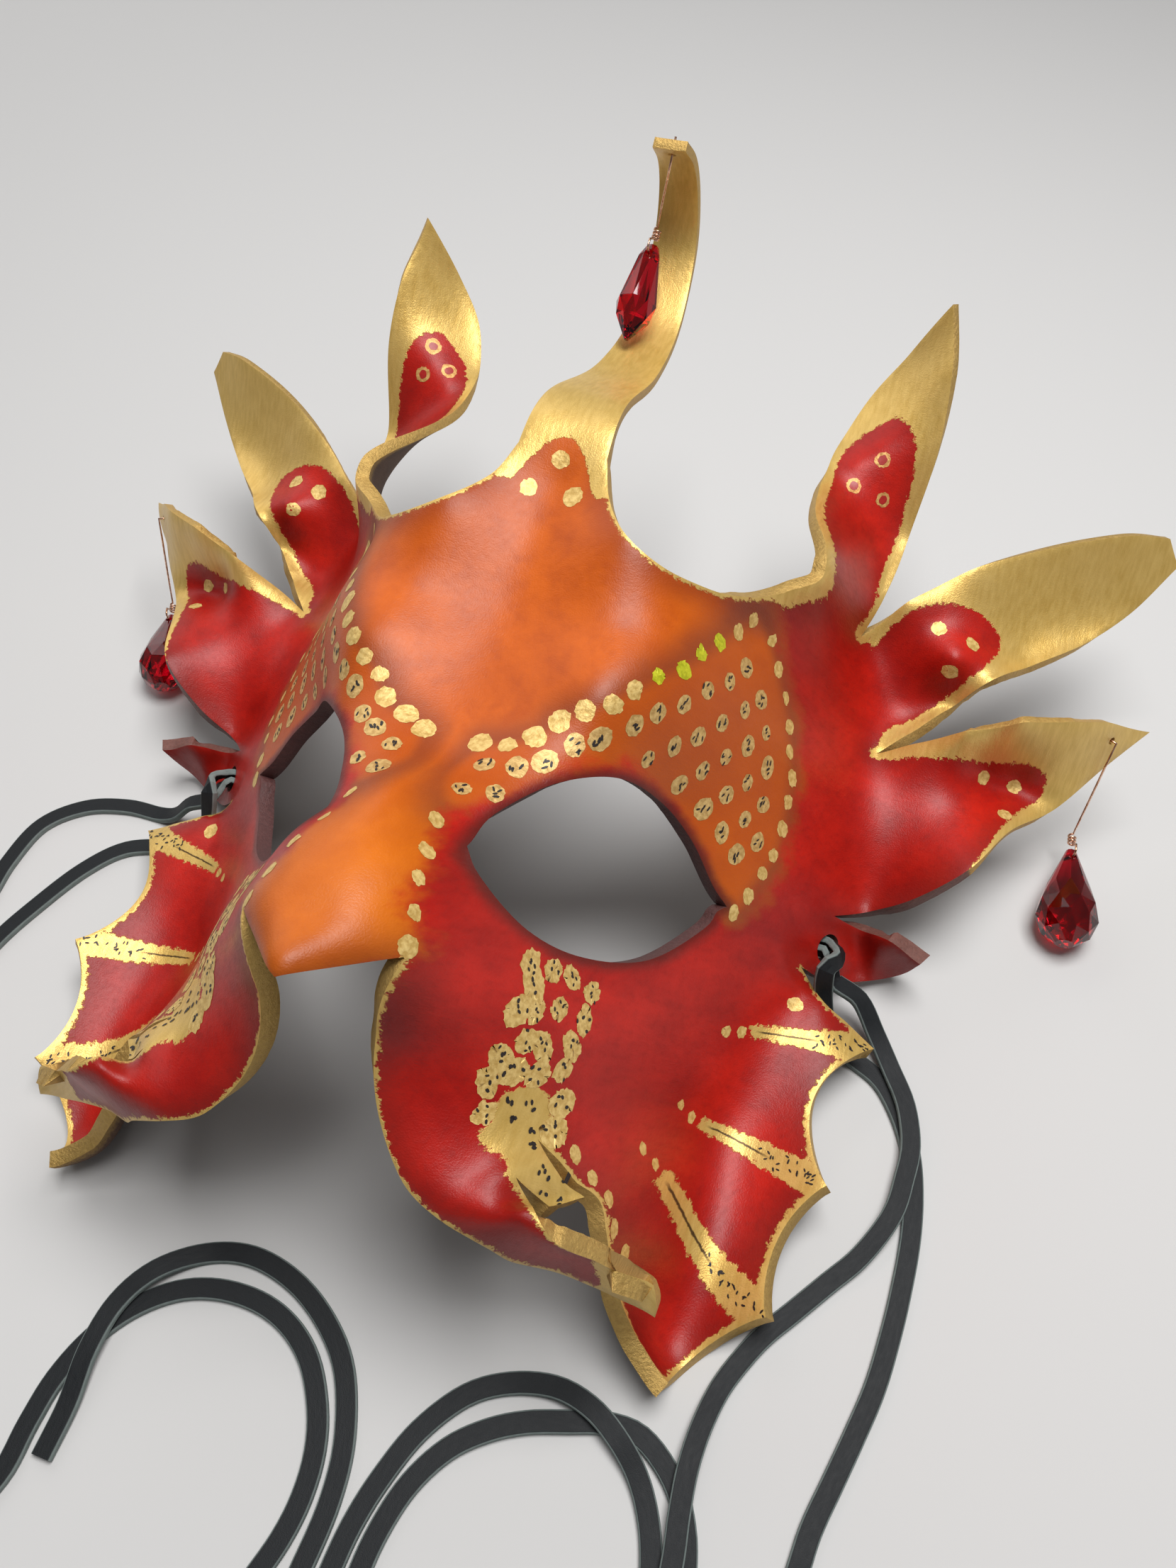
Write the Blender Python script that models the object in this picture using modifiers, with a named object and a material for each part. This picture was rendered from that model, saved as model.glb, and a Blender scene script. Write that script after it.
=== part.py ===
"""Dragon half mask of wet-formed hide, with three ruby glass drops on wires and two tie laces.

The mask is one sheet of hide. Its flat pattern is drawn first, one half of it, and a thin-plate map
then forms it: the map carries each place of the pattern to its place on the face. The face frame
is the wearer's: x to the viewer's right, y up the face, z out of the face. The formed half is
mirrored, given its thickness, and leant back until the mask lies face up on a table.

Lengths in this file are millimetres until an object is placed, and metres from then on.
"""
import math

import bmesh
import bpy
import numpy as np
from mathutils import Matrix, Vector
from mathutils.geometry import delaunay_2d_cdt

METRE = 0.001

# The hide, pared thinner on the blade, horns and ears, and how the mask lies
hide_thickness = 3.2
pared_thickness = 2.0
pared_from = 78.0
pared_full = 100.0
pared_above = -17.0
pared_reach_stretch = 1.35
lying_tilt = math.radians(25.0)
hide_grid = 5.8
edge_step = 5.0
longest_edge = 10.0
splitting_rounds = 4

# Holes
tie_hole_diameter = 6.4
tie_hole_place = (72.5, -22.0)
tie_pad_radius = 6.2
tie_pad_fade = 4.0
wire_hole_diameter = 1.8
ear_hole_setback = (9.0, 6.5)
blade_hole_setback = 3.5

# Blade over the forehead: half widths at its root and tip, and its side profile
blade_root_half_width = 9.0
blade_tip_half_width = 3.6
blade_root_height = 52.0
blade_profile = [(52, 77.5), (60, 76.5), (68, 71), (84, 53), (102, 43), (120, 46.5), (127, 60), (124, 71)]
blade_stations = 16

# Scallops of the fin: tips, and how deep the edge is cut between them
fin_tips = [(64.5, -106, 57.5), (78, -91, 52.5), (83, -66.5, 45.5), (86.5, -39.5, 27)]
scallop_depths = [3.5, 3.8, 7.8]

# Edges of the half pattern, as (x, y, z) on the face, from corner to corner
nose_edge = [(0, -54, 127), (13.5, -46.5, 115.5)]
cheek_edge = [(13.5, -46.5, 115.5), (10, -59, 107.5), (11, -70, 100), (17, -80, 96), (25, -84.5, 94.5)]
fin_inner_edge = [(34.5, -69.5, 85), (42, -75, 80), (48, -81, 75), (52, -92, 66), (57, -100, 59),
                  (64.5, -106, 57.5)]
fin_upper_edge = [(86.5, -39.5, 27), (80, -36, 27.5), (74, -33, 29), (68, -27.5, 30)]
tab_edge = [(68, -27.5, 30), (74, -28.5, 22), (82, -26, 15), (89, -22.5, 14.5), (91.5, -20, 25)]
tab_upper_edge = [(91.5, -20, 25), (84, -17, 26), (72, -15, 24)]
ear_lower_edge = [(72, -15, 24), (79, -11.5, 19), (87, -7, 25), (96, 1.5, 30), (103, 13, 22),
                  (112.5, 22.5, 11), (121, 35, 9), (129, 46, 7)]
ear_upper_edge = [(129, 46, 7), (118, 42, 20), (110, 38, 28), (99, 34, 32), (89, 30.5, 29),
                  (79, 27, 20), (72, 23.5, 17.5)]
ear_hole_place = tuple(tip - setback for tip, setback in zip(ear_lower_edge[-1], ear_hole_setback))
side_horn_lower_edge = [(72, 23.5, 17.5), (79, 31.5, 15), (86, 39.5, 14), (99, 52, 13.5),
                        (110.5, 62.5, 7), (120, 74, 4.5), (127, 86, 7)]
side_horn_end = [(127, 86, 7), (123, 90, 12)]
side_horn_upper_edge = [(123, 90, 12), (114, 87, 16), (98, 79.5, 18), (82, 69, 22), (70, 58, 22.5),
                        (62, 48.5, 20)]
inner_horn_outer_edge = [(62, 48.5, 20), (65, 60, 20.5), (66.5, 75, 17), (68, 91, 28), (66.5, 107, 36),
                         (63, 120.5, 40)]
inner_horn_inner_edge = [(63, 120.5, 40), (56, 114, 28), (50, 106, 22), (46, 94, 21.5), (45, 84, 26),
                         (45, 75, 33), (47, 64, 44.5), (52, 53, 52.5), (52, 47, 53), (46, 42, 55)]
forehead_edge = [(46, 42, 55), (40, 37, 62), (34, 34, 70), (26, 33, 79), (18, 36.5, 82), (12, 44, 78.5),
                 (9, 52, 77.5)]
eye_inner_edge = [(51.5, -21.5, 51), (48, -18.5, 54), (42.5, -12, 60), (36, -7.5, 67), (29, -7, 79),
                  (20, -12.5, 88), (14, -21, 96), (12.5, -27.5, 100)]
eye_outer_edge = [(12.5, -27.5, 100), (16, -31.5, 100), (24, -37.5, 90), (32, -39, 77), (41, -36, 63),
                  (48.5, -27, 53), (50, -23, 52), (51.5, -21.5, 51)]

# The horn's base is rolled, so its inner edge lies further in on the flat pattern than on the face
horn_roll = {(45, 84, 26): 2.0, (45, 75, 33): 4.0, (47, 64, 44.5): 5.0, (52, 53, 52.5): 3.5,
             (52, 47, 53): 1.0}

# The tusk is a strip that stands on edge, cut from the mouth side of the cheek. Each station has its
# place on the pattern, then its place on the face, along the lower and the upper edge.
tusk_lower_edge = [((30, -89), (32, -87, 90)), ((33, -94), (36, -89, 85)), ((36, -99), (42, -89.3, 80.5)),
                   ((39, -105), (48, -90, 78)), ((42, -111), (54, -91, 76)), ((45, -117), (60, -92, 75))]
tusk_upper_edge = [((52, -114), (58.5, -86, 80)), ((49, -108), (54, -85, 84)), ((46, -102), (49, -83.5, 89)),
                   ((43, -96), (44.5, -82, 95)), ((40, -90), (41.5, -80, 97)), ((37, -84), (38.5, -77.5, 96)),
                   ((34, -76.5), (34, -75, 92))]
tongue_edge = [((34, -76.5), (34, -75, 92)), ((38, -81.5), (39.5, -79, 85)), ((42, -79), (44, -76.5, 80)),
               ((38.5, -74.3), (39, -73.5, 84)), ((34.5, -69.5), (34.5, -69.5, 85))]

# Places inside the half that the hide is pressed to
midline = [(-45, 122.5), (-33, 116), (-22, 106), (-14, 91), (-7, 86), (7, 81), (20, 78), (34, 77), (46, 76)]
pressed_places = [
    (12, -40, 114), (11, -33, 110), (8, -22, 101),
    (22, -58, 98), (20, -70, 96.5), (28, -76, 94), (33, -55, 84),
    (5, -8, 87), (17, 0, 86), (24, 5, 86), (30, 12, 81), (35, 20, 73), (39, 32, 62),
    (14, 18, 81), (24, 20, 81),
    (43, 33, 53), (46, 30, 50), (53, 21, 41), (57, 5, 40), (57, -9, 43), (53, -20, 49),
    (69, -34, 30), (62, -41, 35.6), (57, -62, 41), (54, -73, 51),
    (95, 26, 17.7), (103, 26.5, 14), (102, 18, 18),
    (86, 56, 18), (78, 56, 20), (83, 47, 22),
    (56, 92, 27), (58, 85, 25), (51, 86.5, 26),
]

# Glass drops: profiles as (share of the length from the top, share of the full width)
pear_length = 24.0
pear_width = 13.4
pear_sides = 9
pear_profile = [(0.0, 0.16), (0.2, 0.42), (0.4, 0.7), (0.6, 0.95), (0.76, 1.0), (0.9, 0.78), (1.0, 0.3)]
kite_length = 22.0
kite_width = 9.2
kite_sides = 8
kite_profile = [(0.0, 0.3), (0.12, 0.55), (0.62, 1.0), (0.78, 0.82), (1.0, 0.1)]
drop_hole_diameter = 1.8
drop_hole_depth = 2.4

# How the drops hang: from the hole to the drop's top, and from there to its bottom. The ear drops lie
# on the table, so their heights follow their width.
right_ear_hang = (0.0, -13.8)
right_ear_lean = (1.5, -24.0)
left_ear_hang = (1.0, -12.3)
left_ear_lean = (9.5, -22.0)
pear_top_rise = 1.1
pear_bottom_rise = -0.4
blade_hang = (-3.0, -2.8, -19.2)
blade_lean = (0.0, -18.0, -10.0)

# Wires. The loop's free end stops short of the neck, and the strand ends behind the hide.
wire_diameter = 0.5
wire_loop_width = 8.0
wire_loop_corner = 0.5
wire_loop_shoulder = 0.4
wire_end_share = 0.4
wire_end_drop = 0.8
neck_height = 1.6
neck_clearance = 0.2
neck_coil_radius = 0.75
neck_coil_pitch = 0.85
neck_coil_turns = 3
neck_coil_steps = 6
strand_arch = 0.3
strand_arch_share = 0.35
strand_level_share = 0.75
strand_depth_in_hole = 0.3
wire_stand_off = 1.2
wire_tail = 1.5

# Laces: flat strips of hide, each doubled through its tie hole
lace_width = 4.0
lace_thickness = 1.6
lace_sample = 11.0
lace_gap = 0.6

# Where each lace half starts: how deep behind the hide and how high in front of it the strip stands
# straight, and then how high and how far down the face it is as it bends over the edge. The half that
# is further up the face passes over the other.
lace_depth_behind = 3.0
lace_depth_in_hole = 1.2
lace_rise_over_hole = 0.8
lace_bend = (2.7, 2.0)
lace_bend_share = 1.4
lace_past_edge = (2.2, 5.9)
lace_past_edge_share = (0.8, 0.3)
bend_slide_share = 0.4
under_slide = 2.6
over_slide = -2.85
under_facing = (0.75, -0.1, 0.66)
over_facing = (0.2, -0.7, 0.7)

# Where the two halves of each lace run once they are off the mask, from the table spot. On the table
# a lace's middle is at half its thickness, and a lace that crosses another rides over it.
on_table = lace_thickness / 2
over_lace = 1.5 * lace_thickness + 0.3
right_inner_route = [
    (81.5, -37, 9.0), (86.5, -41.5, 4.8), (91, -47, over_lace), (95.5, -54, over_lace), (98, -62, over_lace),
    (98, -69, over_lace), (97, -77, over_lace), (93, -86, 1.4), (88, -93, on_table), (83, -100, on_table),
    (79, -105.5, on_table), (76, -111, on_table), (73.5, -117, 1.0), (72, -124, 2.0), (71.5, -131, over_lace),
    (72, -138, over_lace), (73, -146, over_lace), (73, -155, over_lace), (70, -166, 1.6), (63, -176, on_table),
    (53, -183, on_table), (42, -185, on_table), (31, -181, on_table), (24, -174, on_table),
    (23.2, -165, on_table), (23.8, -157, on_table), (26, -149, on_table), (30.2, -142, on_table),
    (35.8, -137, on_table), (42, -133.5, on_table), (49, -131, on_table), (55.5, -129, on_table),
    (62.5, -129, on_table), (69.5, -133.5, on_table), (73.5, -139.5, on_table), (75.5, -146, on_table),
    (76.5, -154, on_table)]
right_outer_route = [
    (74.7, -40.7, 8.4), (78.4, -45, 2.4), (84, -47, on_table), (90, -50, on_table), (95, -56, on_table),
    (98.5, -63, on_table), (100.5, -71, on_table), (101.5, -80, on_table), (101.5, -90, on_table),
    (101, -99, on_table), (100, -108, on_table), (98, -117, on_table), (96, -125, on_table),
    (94, -133, on_table), (93, -141, on_table), (91, -152, on_table), (86, -165, on_table),
    (77, -179, on_table), (64, -190, on_table), (49, -195, on_table), (34, -194, on_table),
    (22, -186, on_table), (18.2, -175, on_table), (18.4, -166, on_table), (19, -158, on_table),
    (20.8, -150, on_table), (24.2, -141, on_table), (30, -133, on_table), (37, -128.5, on_table),
    (45, -126.5, 1.7), (52, -127.5, over_lace), (58, -130.5, over_lace), (63.5, -135, 1.3),
    (67.5, -141, on_table), (70, -148, on_table), (71, -155, on_table)]
left_outer_route = [
    (-81.5, -36.8, 8.6), (-86.5, -38, 3.6), (-92, -38, on_table), (-101, -38.5, on_table),
    (-111, -42, on_table), (-118.5, -50, on_table), (-120, -62, on_table), (-119, -74, on_table),
    (-120.5, -90, on_table), (-119, -110, on_table), (-112, -132, on_table), (-100, -154, on_table),
    (-83, -176, on_table), (-63, -193, on_table), (-42, -203, on_table), (-20, -205, on_table),
    (-2, -199, on_table), (8, -189, on_table), (12.6, -177, on_table), (13.6, -166, on_table),
    (13.8, -156, on_table), (12, -146.5, on_table), (7, -136.5, on_table), (0, -130, on_table),
    (-9, -125.5, on_table), (-19, -124, on_table), (-28, -126.5, on_table), (-35, -132.5, over_lace),
    (-39, -140, over_lace), (-39.6, -149, over_lace), (-38.6, -158, 1.4), (-38.5, -167, on_table)]
left_inner_route = [
    (-74.7, -40.7, 8.4), (-78.4, -44.6, 2.4), (-84.5, -45.5, on_table), (-94.5, -49.5, on_table),
    (-101, -57.5, on_table), (-106, -69, on_table), (-110, -82, on_table), (-111, -97, on_table),
    (-106, -115, on_table), (-96, -137, on_table), (-84, -156, on_table), (-70, -172, on_table),
    (-57, -181, on_table), (-48, -180, on_table), (-44, -172, on_table), (-44, -163, on_table),
    (-43.5, -155, on_table), (-41, -147, on_table), (-36.5, -140, on_table), (-30, -134.5, on_table),
    (-22.5, -131.6, on_table), (-14, -131, on_table), (-6.5, -132.8, on_table), (0, -137, on_table),
    (5, -143.5, on_table), (7.8, -150, on_table), (8.8, -157, on_table), (8.2, -164, on_table),
    (6, -172, on_table)]


def smooth_curve(points, step):
    """Points about one step apart on a Catmull-Rom curve through the given ones, ends included."""
    knots = np.array(points, float)
    before = 2 * knots[0] - knots[1]
    after = 2 * knots[-1] - knots[-2]
    knots = np.vstack([before, knots, after])
    samples = [knots[1]]
    for a, b, c, d in zip(knots[:-3], knots[1:-2], knots[2:-1], knots[3:]):
        pieces = max(1, round(float(np.linalg.norm(c - b)) / step))
        for k in range(1, pieces + 1):
            t = k / pieces
            samples.append(0.5 * (2 * b + (c - a) * t + (2 * a - 5 * b + 4 * c - d) * t ** 2
                                  + (3 * b - a - 3 * c + d) * t ** 3))
    return np.array(samples)


def on_pattern(edge):
    """An edge's places as pairs: on the pattern, and on the face."""
    pairs = []
    for place in edge:
        if len(place) == 2:
            pairs.append(place)
        else:
            pairs.append(((place[0] - horn_roll.get(place, 0.0), place[1]), place))
    return pairs


def scallop(tip_a, tip_b, depth):
    """A hollow curve of the fin's edge on the pattern, cut in to the given depth between two tips."""
    a, b = np.array(tip_a[:2], float), np.array(tip_b[:2], float)
    chord = b - a
    inward = np.array([-chord[1], chord[0]]) / np.linalg.norm(chord)
    pieces = max(4, round(float(np.linalg.norm(chord)) / edge_step))
    return np.array([a + chord * k / pieces + inward * depth * math.sin(math.pi * k / pieces) ** 0.8
                     for k in range(pieces + 1)])


def blade_edge():
    """The blade's right edge from root to tip: each station on the pattern and on the face."""
    profile = smooth_curve(blade_profile, 1.0)
    lengths = np.concatenate([[0.0], np.cumsum(np.linalg.norm(np.diff(profile, axis=0), axis=1))])
    pairs = []
    for k in range(1, blade_stations + 1):
        share = k / blade_stations
        along = share * lengths[-1]
        half_width = blade_root_half_width + (blade_tip_half_width - blade_root_half_width) * share
        y, z = (float(np.interp(along, lengths, profile[:, axis])) for axis in (0, 1))
        pairs.append(((half_width, blade_root_height + along), (half_width, y, z)))
    return pairs


def outline_of_half():
    """The half pattern's outline: its edges in order from the nose's tip to the blade's tip."""
    blade = [((blade_root_half_width, blade_root_height), forehead_edge[-1])] + blade_edge()
    blade_tip = blade[-1]
    return [on_pattern(nose_edge), on_pattern(cheek_edge) + tusk_lower_edge,
            [tusk_lower_edge[-1], tusk_upper_edge[0]], tusk_upper_edge, tongue_edge[:2], tongue_edge[1:3],
            tongue_edge[2:], on_pattern(fin_inner_edge), "fin", on_pattern(fin_upper_edge),
            on_pattern(tab_edge), on_pattern(tab_upper_edge), on_pattern(ear_lower_edge),
            on_pattern(ear_upper_edge), on_pattern(side_horn_lower_edge), on_pattern(side_horn_end),
            on_pattern(side_horn_upper_edge), on_pattern(inner_horn_outer_edge),
            on_pattern(inner_horn_inner_edge), on_pattern(forehead_edge), blade,
            [blade_tip, ((0.0, blade_tip[0][1]), (0.0, *blade_tip[1][1:]))]]


def forming_places():
    """Every place where the hide is held to the former: pairs of pattern and face, both halves."""
    pairs = [pair for edge in outline_of_half() if edge != "fin" for pair in edge]
    pairs += on_pattern(fin_tips) + on_pattern(eye_inner_edge) + on_pattern(eye_outer_edge)
    pairs += on_pattern(pressed_places)
    pairs += [((0.0, y), (0.0, y, z)) for y, z in midline]
    pairs += [((0.0, pattern[1]), (0.0, *face[1:])) for pattern, face in blade_edge()]
    pairs += [((-pattern[0], pattern[1]), (-face[0], face[1], face[2])) for pattern, face in pairs]
    return {(round(p[0], 3), round(p[1], 3)): f for p, f in pairs}


class Former:
    """The thin-plate map from the flat pattern to the face."""

    def __init__(self, places, softness):
        self.knots = np.array(list(places), float)
        faces = np.array(list(places.values()), float)
        count = len(self.knots)
        bend = self.kernel(self.knots) + softness * np.eye(count)
        flat = np.column_stack([np.ones(count), self.knots])
        matrix = np.block([[bend, flat], [flat.T, np.zeros((3, 3))]])
        self.weights = np.linalg.solve(matrix, np.vstack([faces, np.zeros((3, 3))]))

    def kernel(self, places):
        gaps = places[:, None, :] - self.knots[None, :, :]
        squared = np.maximum((gaps ** 2).sum(axis=2), 1e-9)
        return 0.5 * squared * np.log(squared)

    def form(self, places):
        places = np.atleast_2d(np.array(places, float))
        flat = np.column_stack([np.ones(len(places)), places])
        return self.kernel(places) @ self.weights[:-3] + flat @ self.weights[-3:]

    def press_pads(self):
        """Remember the plane of the flat pad round the tie hole."""
        self.pad = self.frame_at(tie_hole_place)[:2]

    def form_with_pads(self, places):
        """The formed places, with the hide pressed flat round the tie hole."""
        places = np.atleast_2d(np.array(places, float))
        formed = self.form(places)
        centre, stretch = self.pad
        gaps = places - np.array(tie_hole_place)
        outside = np.linalg.norm(gaps, axis=1) - tie_pad_radius
        fade = np.clip(1.0 - outside / tie_pad_fade, 0.0, 1.0)
        return formed + (centre + gaps @ stretch.T - formed) * fade[:, None]

    def frame_at(self, place):
        """The formed place, its stretch along the pattern's two axes, and the normal of the grain side."""
        centre = self.form(place)[0]
        along = self.form((place[0] + 0.5, place[1]))[0] - self.form((place[0] - 0.5, place[1]))[0]
        up = self.form((place[0], place[1] + 0.5))[0] - self.form((place[0], place[1] - 0.5))[0]
        normal = np.cross(along, up)
        return centre, np.column_stack([along, up]), normal / np.linalg.norm(normal)


former = Former(forming_places(), softness=1.5)
former.press_pads()


def round_hole(place, diameter, sides):
    """A hole's outline on the pattern, which the forming turns into a circle on the hide."""
    _, stretch, normal = former.frame_at(place)
    along = stretch[:, 0] / np.linalg.norm(stretch[:, 0])
    across = np.cross(normal, along)
    unstretch = np.linalg.pinv(stretch)
    angles = [2 * math.pi * k / sides for k in range(sides)]
    return np.array([np.array(place) + unstretch @ (along * math.cos(a) + across * math.sin(a)) * diameter / 2
                     for a in angles])


def inside(place, loop):
    """Whether a place on the pattern is inside a closed loop."""
    crossings = 0
    for a, b in zip(loop, np.roll(loop, -1, axis=0)):
        if (a[1] > place[1]) != (b[1] > place[1]):
            crossings += place[0] < a[0] + (place[1] - a[1]) * (b[0] - a[0]) / (b[1] - a[1])
    return crossings % 2 == 1


def half_loops():
    """The half pattern's outer loop and the loops of its holes."""
    outline = []
    for edge in outline_of_half():
        if edge == "fin":
            for k, depth in enumerate(scallop_depths):
                outline += list(scallop(fin_tips[k], fin_tips[k + 1], depth)[:-1])
        else:
            outline += list(smooth_curve([pattern for pattern, _ in edge], edge_step)[:-1])
    tip_height = blade_edge()[-1][0][1]
    nose_height = nose_edge[0][1]
    hole_height = tip_height - blade_hole_setback
    outline.append(np.array([0.0, tip_height]))
    outline += [np.array([math.sin(turn), math.cos(turn)]) * wire_hole_diameter / 2 + (0.0, hole_height)
                for turn in np.linspace(0.0, math.pi, 5)]
    outline[-5][0] = outline[-1][0] = 0.0
    below_hole = hole_height - wire_hole_diameter / 2
    steps = round((below_hole - nose_height) / hide_grid)
    outline += [np.array([0.0, below_hole + (nose_height - below_hole) * k / steps]) for k in range(1, steps)]
    eye = [place[:2] for place in eye_inner_edge], [place[:2] for place in eye_outer_edge]
    eye_loop = np.vstack([smooth_curve(edge, edge_step)[:-1] for edge in eye])
    holes = [eye_loop, round_hole(tie_hole_place, tie_hole_diameter, 16),
             round_hole(ear_hole_place, wire_hole_diameter, 8)]
    return np.array(outline), holes


def flat_half():
    """The half pattern cut from the hide, as places and triangles."""
    outline, holes = half_loops()
    loops = [outline] + holes
    places, edges = [], []
    for loop in loops:
        first = len(places)
        places += [tuple(p) for p in loop]
        edges += [(first + k, first + (k + 1) % len(loop)) for k in range(len(loop))]
    border = np.array(places)
    low, high = border.min(axis=0), border.max(axis=0)
    row_height = hide_grid * math.sqrt(3) / 2
    for row in range(int((high[1] - low[1]) / row_height) + 1):
        for column in range(int((high[0] - low[0]) / hide_grid) + 1):
            place = np.array([low[0] + (column + 0.5 * (row % 2)) * hide_grid, low[1] + row * row_height])
            clear = np.min(np.linalg.norm(border - place, axis=1)) > 0.6 * hide_grid
            if clear and inside(place, outline) and not any(inside(place, hole) for hole in holes):
                places.append(tuple(place))
    cut = delaunay_2d_cdt([Vector(p) for p in places], edges, [list(range(len(outline)))], 1, 1e-5)
    points = np.array([tuple(p) for p in cut[0]])
    triangles = [tri for tri in cut[2]
                 if not any(inside(points[list(tri)].mean(axis=0), hole) for hole in holes)]
    return points, triangles


def clear_scene():
    for old in list(bpy.data.objects):
        bpy.data.objects.remove(old, do_unlink=True)


def make_material(name, colour, roughness, metallic=0.0, transmission=0.0):
    material = bpy.data.materials.new(name)
    material.use_nodes = True
    shader = material.node_tree.nodes["Principled BSDF"]
    shader.inputs["Base Color"].default_value = (*colour, 1.0)
    shader.inputs["Roughness"].default_value = roughness
    shader.inputs["Metallic"].default_value = metallic
    shader.inputs["Transmission Weight"].default_value = transmission
    return material


def add_object(name, data, material):
    data.materials.append(material)
    obj = bpy.data.objects.new(name, data)
    collection.objects.link(obj)
    obj.parent = table_spot
    return obj


def split_long_edges(sheet):
    """Halve the sheet's edges that the forming stretches past the longest edge, in a few rounds."""
    for _ in range(splitting_rounds):
        sheet.verts.index_update()
        formed = former.form([vert.co.xy for vert in sheet.verts])
        long_edges = [edge for edge in sheet.edges
                      if np.linalg.norm(np.subtract(*(formed[v.index] for v in edge.verts))) > longest_edge]
        if not long_edges:
            break
        bmesh.ops.subdivide_edges(sheet, edges=long_edges, cuts=1)
        bmesh.ops.triangulate(sheet, faces=sheet.faces)


def full_thickness_share(place):
    """1 where the hide keeps its thickness, falling to 0 where it is pared on the lobes."""
    if place[1] < pared_above:
        return 1.0
    reach = math.hypot(place[0], pared_reach_stretch * place[1])
    return 1.0 - min(1.0, max(0.0, (reach - pared_from) / (pared_full - pared_from)))


def build_mask():
    """The hide: the half pattern formed, mirrored, and given its thickness on the flesh side."""
    places, triangles = flat_half()
    sheet = bmesh.new()
    verts = [sheet.verts.new((*place, 0.0)) for place in places]
    for triangle in triangles:
        sheet.faces.new([verts[k] for k in triangle])
    bmesh.ops.recalc_face_normals(sheet, faces=sheet.faces)
    if next(iter(sheet.faces)).normal.z < 0:
        bmesh.ops.reverse_faces(sheet, faces=sheet.faces)
    split_long_edges(sheet)
    flat_places = [tuple(vert.co.xy) for vert in sheet.verts]
    for vert, place, formed in zip(sheet.verts, flat_places, former.form_with_pads(flat_places)):
        vert.co = formed * METRE
        if abs(place[0]) < 1e-4:
            vert.co.x = 0.0
    mesh = bpy.data.meshes.new("mask")
    sheet.to_mesh(mesh)
    sheet.free()
    mask = add_object("mask", mesh, hide_red)
    mask.rotation_euler.x = lying_tilt
    full = mask.vertex_groups.new(name="full thickness")
    for k, place in enumerate(flat_places):
        full.add([k], full_thickness_share(place), "REPLACE")
    mirror = mask.modifiers.new("other half", "MIRROR")
    mirror.merge_threshold = 0.0001
    shell = mask.modifiers.new("hide", "SOLIDIFY")
    shell.thickness = hide_thickness * METRE
    shell.offset = -1.0
    shell.vertex_group = full.name
    shell.thickness_vertex_group = pared_thickness / hide_thickness
    return mask


def bounds(obj):
    """The lowest and highest corner of an object's evaluated mesh, beside the table spot, in metres."""
    bpy.context.view_layer.update()
    evaluated = obj.evaluated_get(bpy.context.evaluated_depsgraph_get())
    mesh = evaluated.to_mesh()
    corners = np.array([obj.matrix_world @ vert.co for vert in mesh.vertices])
    evaluated.to_mesh_clear()
    return corners.min(axis=0), corners.max(axis=0)


def on_mask(place, side, depth=0.0):
    """A place on the lying mask, in millimetres: side 1 is the viewer's right, depth is below the grain."""
    centre, _, normal = former.frame_at(place)
    point = centre - normal * depth
    mirrored = Vector((point[0] * side, point[1], point[2])) * METRE
    return (mask.matrix_basis @ mirrored) / METRE


def along_line(top, bottom):
    """A matrix in metres whose origin is the top and whose -Z axis points to the bottom."""
    turn = (Vector(top) - Vector(bottom)).to_track_quat("Z", "Y").to_matrix().to_4x4()
    return Matrix.Translation(Vector(top) * METRE) @ turn


def ear_drop_line(side, hang, lean):
    """The top and the bottom of a drop that hangs from an ear and lies on the table."""
    hole = on_mask(ear_hole_place, side)
    top = (hole.x + hang[0], hole.y + hang[1], pear_width / 2 + pear_top_rise)
    return top, (top[0] + lean[0], top[1] + lean[1], pear_width / 2 + pear_bottom_rise)


def glass_drop(name, profile, length, width, sides, top, bottom):
    """A faceted drop: rings of corners turned against each other, drilled across near its top."""
    drop = bmesh.new()
    for ring, (share, breadth) in enumerate(profile):
        for k in range(sides):
            angle = 2 * math.pi * (k + 0.5 * (ring % 2)) / sides
            radius = 0.5 * width * breadth * METRE
            drop.verts.new((radius * math.cos(angle), radius * math.sin(angle), -share * length * METRE))
    hull = bmesh.ops.convex_hull(drop, input=drop.verts)
    bmesh.ops.delete(drop, geom=hull["geom_interior"] + hull["geom_unused"], context="VERTS")
    bmesh.ops.recalc_face_normals(drop, faces=drop.faces)
    mesh = bpy.data.meshes.new(name)
    drop.to_mesh(mesh)
    drop.free()
    gem = add_object(name, mesh, ruby_glass)
    gem.matrix_local = along_line(top, bottom)
    bpy.ops.mesh.primitive_cylinder_add(vertices=10, radius=0.5 * drop_hole_diameter * METRE,
                                        depth=2 * width * METRE)
    drill = bpy.context.object
    drill.name = name + "_drill"
    drill.data.transform(Matrix.Rotation(math.pi / 2, 4, "X"))
    drill.parent = table_spot
    drill.matrix_local = gem.matrix_local @ Matrix.Translation((0, 0, -drop_hole_depth * METRE))
    drill.display_type = "WIRE"
    drill.hide_render = True
    bpy.context.collection.objects.unlink(drill)
    cutters.objects.link(drill)
    hole = gem.modifiers.new("wire hole", "BOOLEAN")
    hole.object = drill
    return gem


def line_curve(name, points, material):
    """An open curve with filled caps through the points, given in millimetres from the table spot."""
    curve = bpy.data.curves.new(name, "CURVE")
    curve.dimensions = "3D"
    curve.twist_mode = "Z_UP"
    curve.use_fill_caps = True
    curve.render_resolution_u = 0
    spline = curve.splines.new("POLY")
    spline.points.add(len(points) - 1)
    for spot, point in zip(spline.points, points):
        spot.co = (*(c * METRE for c in point), 1.0)
    return add_object(name, curve, material)


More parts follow.
